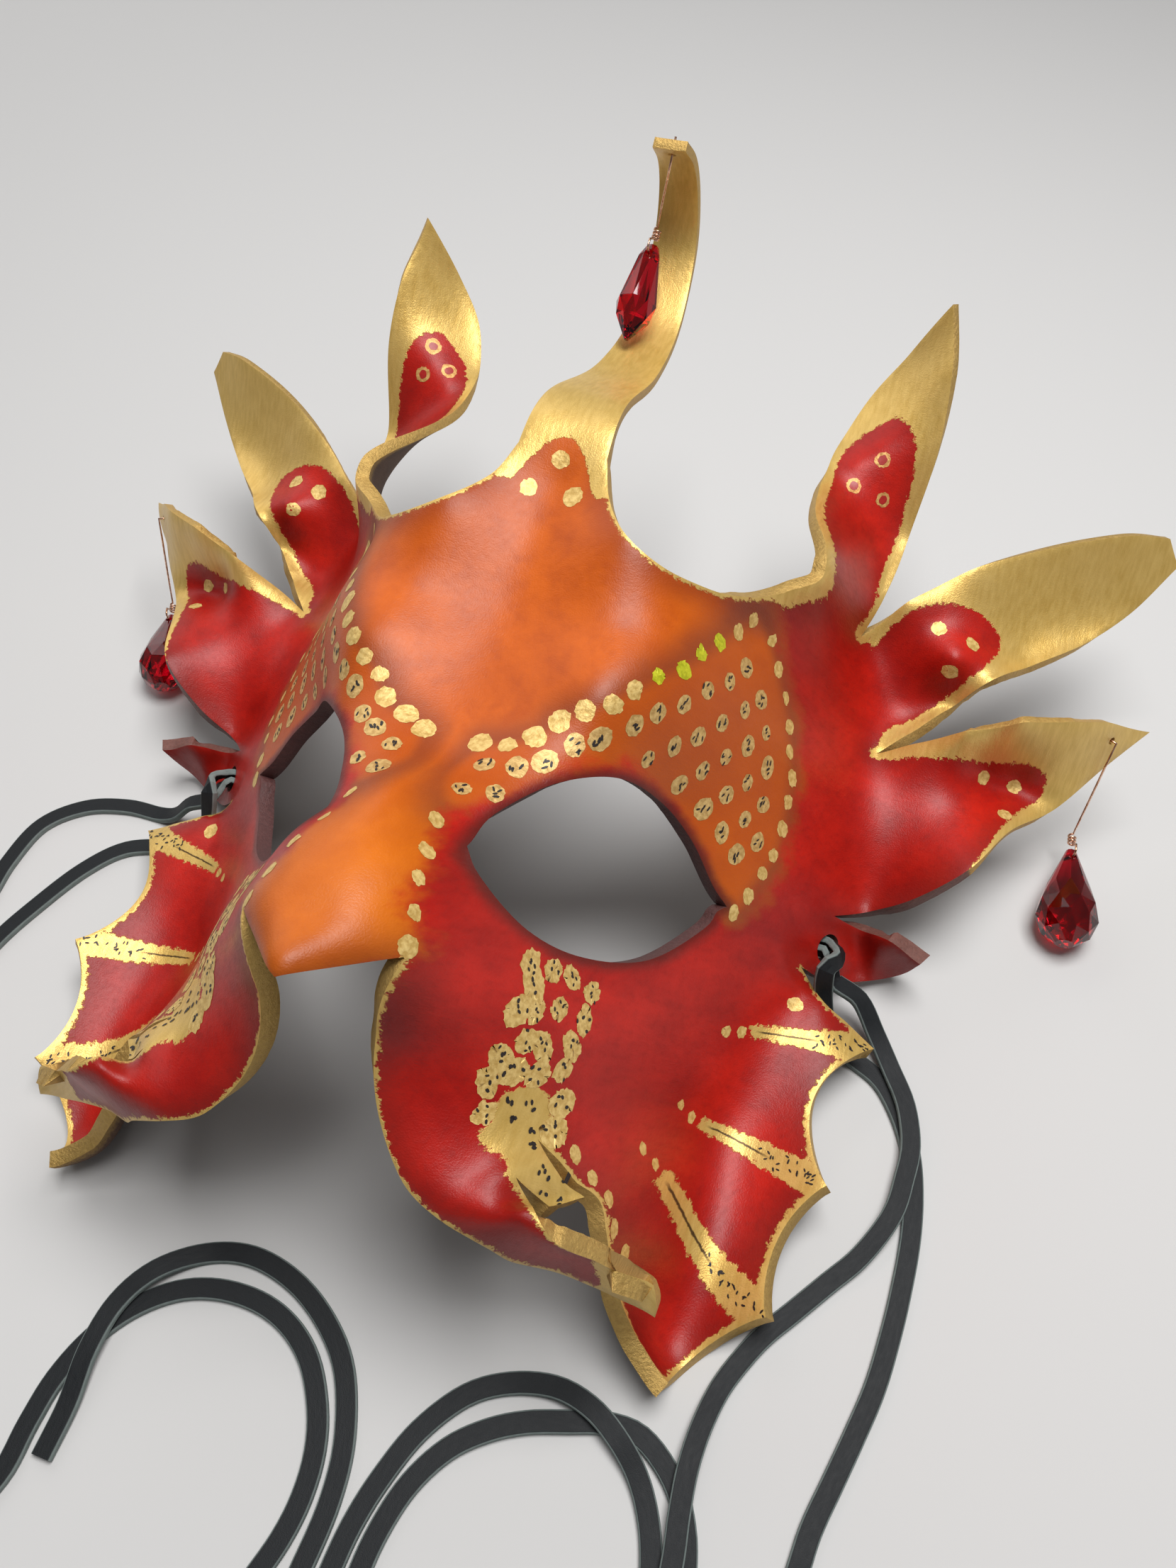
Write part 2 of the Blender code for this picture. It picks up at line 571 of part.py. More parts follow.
def lace_half(name, side, passes_over, route):
    """One half of a lace: from behind the hide up through the tie hole, over the edge and along its route.

    The strip keeps its flat side to the hide, then to the table: each point carries the way that it faces.
    The half that is further up the face in the hole passes over the other one.
    """
    offset = (lace_thickness + lace_gap) / 2 * (1 if passes_over else -1)
    slide = over_slide if passes_over else under_slide
    facing_past_edge = Vector(over_facing if passes_over else under_facing)
    facing_past_edge.x *= side
    hole, _, grain = former.frame_at(tie_hole_place)
    normal = (mask.matrix_basis.to_3x3() @ Vector((grain[0] * side, grain[1], grain[2])))
    middle = on_mask(tie_hole_place, side)
    down_face = Vector((0, -1, 0))
    across = normal.cross(down_face).normalized() * side
    out_of_hole = Vector((0, 1, 0))
    up = Vector((0, 0, 1))
    bend_rise, bend_down = lace_bend
    edge_rise, edge_down = (way + share * offset for way, share in zip(lace_past_edge, lace_past_edge_share))
    steps = [(-hide_thickness - lace_depth_behind, -offset, 0.0, out_of_hole),
             (-lace_depth_in_hole, -offset, 0.0, out_of_hole),
             (lace_rise_over_hole + offset, -offset, 0.0, out_of_hole),
             (bend_rise + lace_bend_share * offset, bend_down, bend_slide_share * slide, normal),
             (edge_rise, edge_down, slide, facing_past_edge)]
    points = [(*(middle + normal * rise + down_face * down + across * sideways), *facing)
              for rise, down, sideways, facing in steps]
    points += [(*point, *up) for point in route]
    smooth = smooth_curve(points, lace_sample)
    lace = line_curve(name, smooth[:, :3], black_lace)
    lace.data.bevel_depth = lace_thickness / 2 * METRE
    lace.data.extrude = (lace_width - lace_thickness) / 2 * METRE
    lace.data.bevel_resolution = 1
    for k, spot in enumerate(lace.data.splines[0].points):
        before, after = smooth[max(k - 1, 0), :3], smooth[min(k + 1, len(smooth) - 1), :3]
        direction = Vector(after - before).normalized()
        standing = (up - direction * up.dot(direction)).normalized()
        wide = Vector(smooth[k, 3:]).cross(direction).normalized()
        spot.tilt = math.atan2(standing.cross(wide).dot(direction), standing.dot(wide))
    return lace


def hanger(name, gem, hole_place, side):
    """A wire from behind the hide, out through its hole, down to a wound neck, and through the drop."""
    local = gem.matrix_local
    loop_half = wire_loop_width / 2
    neck_turns = []
    for k in range(neck_coil_turns * neck_coil_steps + 1):
        angle = math.pi / 2 + 2 * math.pi * k / neck_coil_steps
        neck_turns.append((neck_coil_radius * math.cos(angle), neck_coil_radius * math.sin(angle),
                           neck_height + neck_clearance + k * neck_coil_pitch / neck_coil_steps))
    across, corner = loop_half - wire_loop_corner, wire_loop_corner - drop_hole_depth
    loop = [(0, -loop_half * wire_end_share, neck_height - wire_end_drop),
            (0, -loop_half, -wire_loop_shoulder), (0, -loop_half, corner), (0, -across, -drop_hole_depth),
            (0, across, -drop_hole_depth), (0, loop_half, corner), (0, loop_half, -wire_loop_shoulder)]
    points = [(local @ (Vector(p) * METRE)) / METRE for p in loop + neck_turns]
    front = on_mask(hole_place, side, -wire_stand_off)
    behind = on_mask(hole_place, side, pared_thickness + wire_tail)
    start = points[-1]
    points += [start.lerp(front, strand_arch_share) + Vector((0, 0, strand_arch)),
               start.lerp(front, strand_level_share), front,
               on_mask(hole_place, side, strand_depth_in_hole), behind]
    hung = line_curve(name, points, copper)
    hung.data.bevel_depth = wire_diameter / 2 * METRE
    hung.data.bevel_resolution = 1
    return hung


clear_scene()
collection = bpy.data.collections.new("dragon_mask")
cutters = bpy.data.collections.new("cutters")
for group in (collection, cutters):
    bpy.context.scene.collection.children.link(group)
table_spot = bpy.data.objects.new("table_spot", None)
collection.objects.link(table_spot)

hide_red = make_material("red painted hide", (0.42, 0.02, 0.015), 0.42)
ruby_glass = make_material("ruby glass", (0.35, 0.0, 0.01), 0.04, transmission=0.9)
copper = make_material("copper wire", (0.72, 0.43, 0.3), 0.3, 1.0)
black_lace = make_material("black lace", (0.012, 0.013, 0.014), 0.75)

mask = build_mask()
low, high = bounds(mask)
mask.location.z = -low[2]
table_spot.location = (0.0, -0.5 * (low[1] + high[1]), 0.0)

blade_hole_place = (0.0, blade_edge()[-1][0][1] - blade_hole_setback)
blade_top = on_mask(blade_hole_place, 1) + Vector(blade_hang)
right_drop = glass_drop("right_ear_drop", pear_profile, pear_length, pear_width, pear_sides,
                        *ear_drop_line(1, right_ear_hang, right_ear_lean))
left_drop = glass_drop("left_ear_drop", pear_profile, pear_length, pear_width, pear_sides,
                       *ear_drop_line(-1, left_ear_hang, left_ear_lean))
blade_drop = glass_drop("blade_drop", kite_profile, kite_length, kite_width, kite_sides,
                        blade_top, blade_top + Vector(blade_lean))
hanger("right_ear_wire", right_drop, ear_hole_place, 1)
hanger("left_ear_wire", left_drop, ear_hole_place, -1)
hanger("blade_wire", blade_drop, blade_hole_place, 1)

lace_half("right_lace_inner", 1, False, right_inner_route)
lace_half("right_lace_outer", 1, True, right_outer_route)
lace_half("left_lace_outer", -1, False, left_outer_route)
lace_half("left_lace_inner", -1, True, left_inner_route)
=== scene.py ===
# %% [markdown]
# # A dragon half mask in formed and painted hide
#
# The real mask is one sheet of thick hide. It was cut flat, wetted, pressed into a face and dried, then
# dyed red and orange, painted with gold and hung with three ruby glass drops. This lesson dresses the
# plain solids of that mask: the frame gives the places and sizes, and every cell adds one visible thing.

# %% The frame and the tools
import math

import bmesh
import bpy
import numpy as np
from mathutils import Matrix, Vector
from mathutils.geometry import delaunay_2d_cdt


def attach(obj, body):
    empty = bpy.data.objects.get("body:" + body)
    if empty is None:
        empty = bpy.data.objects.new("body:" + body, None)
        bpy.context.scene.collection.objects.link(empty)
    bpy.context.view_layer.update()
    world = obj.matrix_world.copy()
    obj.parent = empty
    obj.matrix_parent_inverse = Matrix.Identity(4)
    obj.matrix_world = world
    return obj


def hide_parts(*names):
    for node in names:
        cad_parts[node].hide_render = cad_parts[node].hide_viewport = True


METRE = 0.001
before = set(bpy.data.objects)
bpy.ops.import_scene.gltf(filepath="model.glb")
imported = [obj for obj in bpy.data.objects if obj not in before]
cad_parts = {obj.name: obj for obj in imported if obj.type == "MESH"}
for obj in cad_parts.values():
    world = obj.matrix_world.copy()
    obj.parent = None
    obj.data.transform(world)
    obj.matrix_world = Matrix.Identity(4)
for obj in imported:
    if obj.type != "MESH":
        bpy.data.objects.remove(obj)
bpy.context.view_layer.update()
print("solids:", sorted(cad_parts))

# %% [markdown]
# ## The camera
#
# The mask lies face up on a table and the photographer leans over its lower right side. The camera is
# given by its place and by the three directions of its picture, so no object has to be aimed at.

# %% Camera
camera_place = Vector((68.6, -141.3, 240.2)) * METRE
picture_right = Vector((0.9443, 0.328, -0.028)).normalized()
picture_down = Vector((0.2516, -0.7739, -0.5812)).normalized()
view_back = picture_down.cross(picture_right).normalized()
picture_up = view_back.cross(picture_right).normalized()
camera_data = bpy.data.cameras.new("table_camera")
camera_data.lens = 36.02
camera_data.sensor_width = 36.0
camera_data.sensor_fit = "HORIZONTAL"
camera_data.clip_start = 0.005
camera = bpy.data.objects.new("table_camera", camera_data)
turn = Matrix((picture_right, picture_up, view_back)).transposed()
camera.matrix_world = Matrix.Translation(camera_place) @ turn.to_4x4()
bpy.context.scene.collection.objects.link(camera)
bpy.context.scene.camera = camera
print("camera looks along", [round(c, 3) for c in -view_back])

# %% [markdown]
# ## The pattern of the hide
#
# Wet hide is cut flat before it is formed, so the outline is drawn flat too: one half of the pattern,
# in millimetres, from the nose round the cheek, fin, ear and horns to the blade on the forehead. Where
# a place has three numbers, they are its place on the face after forming: x to the viewer's right, y up
# the face and z out of it. Modelling the folded edges directly in space would be slow and never smooth.

# %% Sizes of the hide
hide_thickness = 3.2
pared_thickness = 2.0
pared_from, pared_full = 78.0, 100.0
pared_above, pared_reach_stretch = -17.0, 1.35
broken_corner = 0.35
lying_tilt = math.radians(25.0)
lying_lift = 1.7712
table_spot_y = 14.3991
tie_hole_diameter = 6.4
tie_hole_place = (72.5, -22.0)
tie_pad_radius, tie_pad_fade = 6.2, 4.0
wire_hole_diameter = 1.8
ear_hole_setback = (9.0, 6.5)
blade_hole_setback = 3.5
blade_root_half_width, blade_tip_half_width, blade_root_height = 9.0, 3.6, 52.0
blade_stations = 16
blade_profile = [(52, 77.5), (60, 76.5), (68, 71), (84, 53), (102, 43), (120, 46.5), (127, 60), (124, 71)]

# %% Edges of the half pattern
fin_tips = [(64.5, -106, 57.5), (78, -91, 52.5), (83, -66.5, 45.5), (86.5, -39.5, 27)]
scallop_depths = [3.5, 3.8, 7.8]
nose_edge = [(0, -54, 127), (13.5, -46.5, 115.5)]
cheek_edge = [(13.5, -46.5, 115.5), (10, -59, 107.5), (11, -70, 100), (17, -80, 96), (25, -84.5, 94.5)]
fin_inner_edge = [(34.5, -69.5, 85), (42, -75, 80), (48, -81, 75), (52, -92, 66), (57, -100, 59),
                  (64.5, -106, 57.5)]
fin_upper_edge = [(86.5, -39.5, 27), (80, -36, 27.5), (74, -33, 29), (68, -27.5, 30)]
tab_edge = [(68, -27.5, 30), (74, -28.5, 22), (82, -26, 15), (89, -22.5, 14.5), (91.5, -20, 25)]
tab_upper_edge = [(91.5, -20, 25), (84, -17, 26), (72, -15, 24)]
ear_lower_edge = [(72, -15, 24), (79, -11.5, 19), (87, -7, 25), (96, 1.5, 30), (103, 13, 22),
                  (112.5, 22.5, 11), (121, 35, 9), (129, 46, 7)]
ear_upper_edge = [(129, 46, 7), (118, 42, 20), (110, 38, 28), (99, 34, 32), (89, 30.5, 29),
                  (79, 27, 20), (72, 23.5, 17.5)]
ear_hole_place = tuple(tip - setback for tip, setback in zip(ear_lower_edge[-1], ear_hole_setback))
side_horn_lower_edge = [(72, 23.5, 17.5), (79, 31.5, 15), (86, 39.5, 14), (99, 52, 13.5),
                        (110.5, 62.5, 7), (120, 74, 4.5), (127, 86, 7)]
side_horn_end = [(127, 86, 7), (123, 90, 12)]
side_horn_upper_edge = [(123, 90, 12), (114, 87, 16), (98, 79.5, 18), (82, 69, 22), (70, 58, 22.5),
                        (62, 48.5, 20)]
inner_horn_outer_edge = [(62, 48.5, 20), (65, 60, 20.5), (66.5, 75, 17), (68, 91, 28), (66.5, 107, 36),
                         (63, 120.5, 40)]
inner_horn_inner_edge = [(63, 120.5, 40), (56, 114, 28), (50, 106, 22), (46, 94, 21.5), (45, 84, 26),
                         (45, 75, 33), (47, 64, 44.5), (52, 53, 52.5), (52, 47, 53), (46, 42, 55)]
forehead_edge = [(46, 42, 55), (40, 37, 62), (34, 34, 70), (26, 33, 79), (18, 36.5, 82), (12, 44, 78.5),
                 (9, 52, 77.5)]
eye_inner_edge = [(51.5, -21.5, 51), (48, -18.5, 54), (42.5, -12, 60), (36, -7.5, 67), (29, -7, 79),
                  (20, -12.5, 88), (14, -21, 96), (12.5, -27.5, 100)]
eye_outer_edge = [(12.5, -27.5, 100), (16, -31.5, 100), (24, -37.5, 90), (32, -39, 77), (41, -36, 63),
                  (48.5, -27, 53), (50, -23, 52), (51.5, -21.5, 51)]
horn_roll = {(45, 84, 26): 2.0, (45, 75, 33): 4.0, (47, 64, 44.5): 5.0, (52, 53, 52.5): 3.5,
             (52, 47, 53): 1.0}

# %% Tusk, tongue and the places that the hide is pressed to
tusk_lower_edge = [((30, -89), (32, -87, 90)), ((33, -94), (36, -89, 85)), ((36, -99), (42, -89.3, 80.5)),
                   ((39, -105), (48, -90, 78)), ((42, -111), (54, -91, 76)), ((45, -117), (60, -92, 75))]
tusk_upper_edge = [((52, -114), (58.5, -86, 80)), ((49, -108), (54, -85, 84)), ((46, -102), (49, -83.5, 89)),
                   ((43, -96), (44.5, -82, 95)), ((40, -90), (41.5, -80, 97)), ((37, -84), (38.5, -77.5, 96)),
                   ((34, -76.5), (34, -75, 92))]
tongue_edge = [((34, -76.5), (34, -75, 92)), ((38, -81.5), (39.5, -79, 85)), ((42, -79), (44, -76.5, 80)),
               ((38.5, -74.3), (39, -73.5, 84)), ((34.5, -69.5), (34.5, -69.5, 85))]
midline = [(-45, 122.5), (-33, 116), (-22, 106), (-14, 91), (-7, 86), (7, 81), (20, 78), (34, 77), (46, 76)]
pressed_places = [
    (12, -40, 114), (11, -33, 110), (8, -22, 101),
    (22, -58, 98), (20, -70, 96.5), (28, -76, 94), (33, -55, 84),
    (5, -8, 87), (17, 0, 86), (24, 5, 86), (30, 12, 81), (35, 20, 73), (39, 32, 62),
    (14, 18, 81), (24, 20, 81),
    (43, 33, 53), (46, 30, 50), (53, 21, 41), (57, 5, 40), (57, -9, 43), (53, -20, 49),
    (69, -34, 30), (62, -41, 35.6), (57, -62, 41), (54, -73, 51),
    (95, 26, 17.7), (103, 26.5, 14), (102, 18, 18),
    (86, 56, 18), (78, 56, 20), (83, 47, 22),
    (56, 92, 27), (58, 85, 25), (51, 86.5, 26)]

# %% [markdown]
# ## Curves through a few points
#
# A maker draws an edge through a few marks and lets the knife run smoothly between them. A Catmull-Rom
# curve does the same: it passes through every mark, which a Bezier handle or a B-spline doesn't promise.


# %% Smooth curves and the edges made with them
def smooth_curve(points, step):
    """Points about one step apart on a Catmull-Rom curve through the given ones, ends included."""
    knots = np.array(points, float)
    knots = np.vstack([2 * knots[0] - knots[1], knots, 2 * knots[-1] - knots[-2]])
    samples = [knots[1]]
    for a, b, c, d in zip(knots[:-3], knots[1:-2], knots[2:-1], knots[3:]):
        pieces = max(1, round(float(np.linalg.norm(c - b)) / step))
        for k in range(1, pieces + 1):
            t = k / pieces
            samples.append(0.5 * (2 * b + (c - a) * t + (2 * a - 5 * b + 4 * c - d) * t ** 2
                                  + (3 * b - a - 3 * c + d) * t ** 3))
    return np.array(samples)


def on_pattern(edge):
    """An edge's places as pairs: on the pattern, and on the face."""
    return [place if len(place) == 2 else ((place[0] - horn_roll.get(place, 0.0), place[1]), place)
            for place in edge]


def scallop(tip_a, tip_b, depth, step):
    """A hollow curve of the fin's edge on the pattern, cut in between two tips."""
    a, b = np.array(tip_a[:2], float), np.array(tip_b[:2], float)
    chord = b - a
    inward = np.array([-chord[1], chord[0]]) / np.linalg.norm(chord)
    pieces = max(4, round(float(np.linalg.norm(chord)) / step))
    return np.array([a + chord * k / pieces + inward * depth * math.sin(math.pi * k / pieces) ** 0.8
                     for k in range(pieces + 1)])


def blade_edge():
    """The blade's right edge from root to tip: each station on the pattern and on the face."""
    profile = smooth_curve(blade_profile, 1.0)
    lengths = np.concatenate([[0.0], np.cumsum(np.linalg.norm(np.diff(profile, axis=0), axis=1))])
    pairs = []
    for k in range(1, blade_stations + 1):
        share = k / blade_stations
        along = share * lengths[-1]
        half_width = blade_root_half_width + (blade_tip_half_width - blade_root_half_width) * share
        y, z = (float(np.interp(along, lengths, profile[:, axis])) for axis in (0, 1))
        pairs.append(((half_width, blade_root_height + along), (half_width, y, z)))
    return pairs


def outline_of_half():
    """The half pattern's outline: its edges in order from the nose's tip to the blade's tip."""
    blade = [((blade_root_half_width, blade_root_height), forehead_edge[-1])] + blade_edge()
    blade_tip = blade[-1]
    return {"nose": on_pattern(nose_edge), "cheek": on_pattern(cheek_edge) + tusk_lower_edge,
            "tusk end": [tusk_lower_edge[-1], tusk_upper_edge[0]], "tusk": tusk_upper_edge,
            "tongue side": tongue_edge[:2], "tongue end": tongue_edge[1:3], "tongue": tongue_edge[2:],
            "fin inner": on_pattern(fin_inner_edge), "fin": None, "fin upper": on_pattern(fin_upper_edge),
            "tab": on_pattern(tab_edge), "tab upper": on_pattern(tab_upper_edge),
            "ear lower": on_pattern(ear_lower_edge), "ear upper": on_pattern(ear_upper_edge),
            "side horn lower": on_pattern(side_horn_lower_edge), "side horn end": on_pattern(side_horn_end),
            "side horn upper": on_pattern(side_horn_upper_edge),
            "inner horn outer": on_pattern(inner_horn_outer_edge),
            "inner horn inner": on_pattern(inner_horn_inner_edge), "forehead": on_pattern(forehead_edge),
            "blade": blade, "blade end": [blade_tip, ((0.0, blade_tip[0][1]), (0.0, *blade_tip[1][1:]))]}


# %% [markdown]
# ## Forming the hide
#
# Pressed hide bends in long smooth waves between the places where fingers hold it. A thin-plate map
# has exactly that habit: it carries each held place of the pattern to its place on the face and bends
# as little as it can in between. The table then takes the formed mask, leant back by its own edges.


# %% The former
def forming_places():
    """Every place where the hide is held: pairs of pattern and face, both halves."""
    pairs = [pair for edge in outline_of_half().values() if edge for pair in edge]
    pairs += on_pattern(fin_tips) + on_pattern(eye_inner_edge) + on_pattern(eye_outer_edge)
    pairs += on_pattern(pressed_places)
    pairs += [((0.0, y), (0.0, y, z)) for y, z in midline]
    pairs += [((0.0, pattern[1]), (0.0, *face[1:])) for pattern, face in blade_edge()]
    pairs += [((-pattern[0], pattern[1]), (-face[0], face[1], face[2])) for pattern, face in pairs]
    return {(round(p[0], 3), round(p[1], 3)): f for p, f in pairs}


class Former:
    """The thin-plate map from the flat pattern to the face."""

    def __init__(self, places, softness):
        self.knots = np.array(list(places), float)
        faces = np.array(list(places.values()), float)
        count = len(self.knots)
        bend = self.kernel(self.knots) + softness * np.eye(count)
        flat = np.column_stack([np.ones(count), self.knots])
        matrix = np.block([[bend, flat], [flat.T, np.zeros((3, 3))]])
        self.weights = np.linalg.solve(matrix, np.vstack([faces, np.zeros((3, 3))]))
        self.pad = self.frame_at([tie_hole_place])

    def kernel(self, places):
        gaps = places[:, None, :] - self.knots[None, :, :]
        squared = np.maximum((gaps ** 2).sum(axis=2), 1e-9)
        return 0.5 * squared * np.log(squared)

    def form(self, places):
        places = np.atleast_2d(np.array(places, float))
        flat = np.column_stack([np.ones(len(places)), places])
        return self.kernel(places) @ self.weights[:-3] + flat @ self.weights[-3:]

    def form_with_pads(self, places):
        """The formed places, with the hide pressed flat round the tie hole."""
        places = np.atleast_2d(np.array(places, float))
        formed = self.form(places)
        centre, along, up, _ = (part[0] for part in self.pad)
        gaps = places - np.array(tie_hole_place)
        within = tie_pad_radius + tie_pad_fade - np.linalg.norm(gaps, axis=1)
        fade = np.clip(within / tie_pad_fade, 0.0, 1.0)
        flat = centre + gaps @ np.stack([along, up])
        return formed + (flat - formed) * fade[:, None]

    def frame_at(self, places):
        """The formed places, their stretch along the pattern's two axes, and the grain side's normals."""
        places = np.array(places, float)
        along = self.form(places + (0.5, 0.0)) - self.form(places - (0.5, 0.0))
        up = self.form(places + (0.0, 0.5)) - self.form(places - (0.0, 0.5))
        normals = np.cross(along, up)
        return self.form(places), along, up, normals / np.linalg.norm(normals, axis=1)[:, None]


former = Former(forming_places(), softness=1.5)
print("the hide is held at", len(former.knots), "places")


# %% From the face to the table
def leant(vectors):
    """Directions of the face frame turned to the lying mask."""
    x, y, z = np.array(vectors, float).T
    lean, rise = math.cos(lying_tilt), math.sin(lying_tilt)
    return np.column_stack([x, y * lean - z * rise, y * rise + z * lean])


def on_table(points):
    """Places of the face frame, in millimetres, as places of the row frame in metres."""
    return (leant(points) + (0.0, table_spot_y, lying_lift)) * METRE


def to_side(vectors, side):
    """Vectors of the right half turned to the side: 1 is the viewer's right, -1 the left."""
    return np.array(vectors, float) * (side, 1.0, 1.0)


# %% [markdown]
# ## The laces
#
# Each lace is a flat strip of black hide, doubled through the hole at the temple. It is stiff enough to
# hold the wide loops in which it was dropped, and it always lies on its flat side. A curve with a round
# bevel would look like cable, so the strip is swept by hand: a rectangle with soft corners is carried
# along the route, and every station knows which way its flat side faces. The part of the two loops that
# the photograph cuts off is closed just outside its lower edge.

# %% Sizes and routes of the laces
lace_width, lace_thickness, lace_gap = 4.0, 1.6, 0.6
lace_corner = 0.4
lace_step = 1.6
rest_height = 0.05

# How far the doubled end is behind the hide, and how the strip leaves the hole, bends and passes the edge.
# The half that is further up the face passes over the other.
fold_depth, fold_share = 0.8, 0.8
lace_depth_behind, lace_depth_in_hole, lace_rise_over_hole = 3.0, 1.2, 0.8
lace_bend, lace_bend_share = (2.7, 2.0), 1.4
lace_past_edge, lace_past_edge_share = (2.2, 5.9), (0.8, 0.3)
bend_slide_share = 0.4
under_slide, over_slide = 2.6, -2.85
under_facing, over_facing = (0.75, -0.1, 0.66), (0.2, -0.7, 0.7)

# The height of a lace's middle where it lies on the table, and where it rides over another lace
lying = lace_thickness / 2
over_lace = 1.5 * lace_thickness + 0.3
right_inner_route = [
    (81.5, -37, 9.0), (86.5, -41.5, 4.8), (91, -47, over_lace), (95.5, -54, over_lace), (98, -62, over_lace),
    (98, -69, over_lace), (97, -77, over_lace), (93, -86, 1.4), (88, -93, lying), (83, -100, lying),
    (79, -105.5, lying), (76, -111, lying), (73.5, -117, 1.0), (72, -124, 2.0), (71.5, -131, over_lace),
    (72, -138, over_lace), (73, -146, over_lace), (73, -155, over_lace), (70, -166, 1.6), (63, -176, lying),
    (53, -183, lying), (42, -185, lying), (31, -181, lying), (24, -174, lying),
    (23.2, -165, lying), (23.8, -157, lying), (26, -149, lying), (30.2, -142, lying),
    (35.8, -137, lying), (42, -133.5, lying), (49, -131, lying), (55.5, -129, lying),
    (62.5, -129, lying), (69.5, -133.5, lying), (73.5, -139.5, lying), (75.5, -146, lying),
    (76.5, -154, lying)]
right_outer_route = [
    (74.7, -40.7, 8.4), (78.4, -45, 2.4), (84, -47, lying), (90, -50, lying), (95, -56, lying),
    (98.5, -63, lying), (100.5, -71, lying), (101.5, -80, lying), (101.5, -90, lying),
    (101, -99, lying), (100, -108, lying), (98, -117, lying), (96, -125, lying),
    (94, -133, lying), (93, -141, lying), (91, -152, lying), (86, -165, lying),
    (77, -179, lying), (64, -190, lying), (49, -195, lying), (34, -194, lying),
    (22, -186, lying), (18.2, -175, lying), (18.4, -166, lying), (19, -158, lying),
    (20.8, -150, lying), (24.2, -141, lying), (30, -133, lying), (37, -128.5, lying),
    (45, -126.5, 1.7), (52, -127.5, over_lace), (58, -130.5, over_lace), (63.5, -135, 1.3),
    (67.5, -141, lying), (70, -148, lying), (71, -155, lying)]
left_outer_route = [
    (-81.5, -36.8, 8.6), (-86.5, -38, 3.6), (-92, -38, lying), (-101, -38.5, lying),
    (-111, -42, lying), (-118.5, -50, lying), (-120, -62, lying), (-119, -74, lying),
    (-120.5, -90, lying), (-119, -110, lying), (-112, -132, lying), (-100, -154, lying),
    (-83, -176, lying), (-63, -193, lying), (-42, -203, lying), (-20, -205, lying),
    (-2, -199, lying), (8, -189, lying), (12.6, -177, lying), (13.6, -166, lying),
    (13.8, -156, lying), (12, -146.5, lying), (7, -136.5, lying), (0, -130, lying),
    (-9, -125.5, lying), (-19, -124, lying), (-28, -126.5, lying), (-35, -132.5, over_lace),
    (-39, -140, over_lace), (-39.6, -149, over_lace), (-38.6, -158, 1.4), (-38.5, -167, lying)]
left_inner_route = [
    (-74.7, -40.7, 8.4), (-78.4, -44.6, 2.4), (-84.5, -45.5, lying), (-94.5, -49.5, lying),
    (-101, -57.5, lying), (-106, -69, lying), (-110, -82, lying), (-111, -97, lying),
    (-106, -115, lying), (-96, -137, lying), (-84, -156, lying), (-70, -172, lying),
    (-57, -181, lying), (-48, -180, lying), (-44, -172, lying), (-44, -163, lying),
    (-43.5, -155, lying), (-41, -147, lying), (-36.5, -140, lying), (-30, -134.5, lying),
    (-22.5, -131.6, lying), (-14, -131, lying), (-6.5, -132.8, lying), (0, -137, lying),
    (5, -143.5, lying), (7.8, -150, lying), (8.8, -157, lying), (8.2, -164, lying),
    (6, -172, lying)]


# %% The strip's section and its path
def lace_section():
    """The lace's cross-section, in millimetres: a rectangle with cut corners."""
    w, t, c = lace_width / 2, lace_thickness / 2, lace_corner
    quarter = [(w, t - c), (w - 0.3 * c, t - 0.3 * c), (w - c, t), (0.0, t)]
    half = quarter + [(-x, y) for x, y in reversed(quarter[:-1])]
    return np.array(half + [(-x, -y) for x, y in half])


def lace_path(side, offset, slide, edge_facing, route):
    """The lace's stations: places beside the table spot in millimetres, and the way each one faces."""
    centre, _, _, grain = (part[0] for part in former.frame_at([tie_hole_place]))
    normal = Vector(leant([to_side(grain, side)])[0])
    middle = Vector(leant([to_side(centre, side)])[0]) + Vector((0, 0, lying_lift))
    down_face = Vector((0, -1, 0))
    across = normal.cross(down_face).normalized() * side
    out_of_hole = Vector((0, 1, 0))
    lean = 1.0 if offset > 0 else -1.0
    behind = hide_thickness + lace_depth_behind
    past_rise, past_down = (far + share * offset for far, share in zip(lace_past_edge, lace_past_edge_share))
    steps = [(-behind - fold_depth, 0.0, 0.0, -normal * lean),
             (-behind, -fold_share * offset, 0.0, out_of_hole),
             (-lace_depth_in_hole, -offset, 0.0, out_of_hole),
             (lace_rise_over_hole + offset, -offset, 0.0, out_of_hole),
             (lace_bend[0] + lace_bend_share * offset, lace_bend[1], bend_slide_share * slide, normal),
             (past_rise, past_down, slide, Vector(to_side(edge_facing, side)))]
    stations = [(*(middle + normal * rise + down_face * down + across * sideways), *facing)
                for rise, down, sideways, facing in steps]
    return smooth_curve(stations + [(*point, 0.0, 0.0, 1.0) for point in route], lace_step)


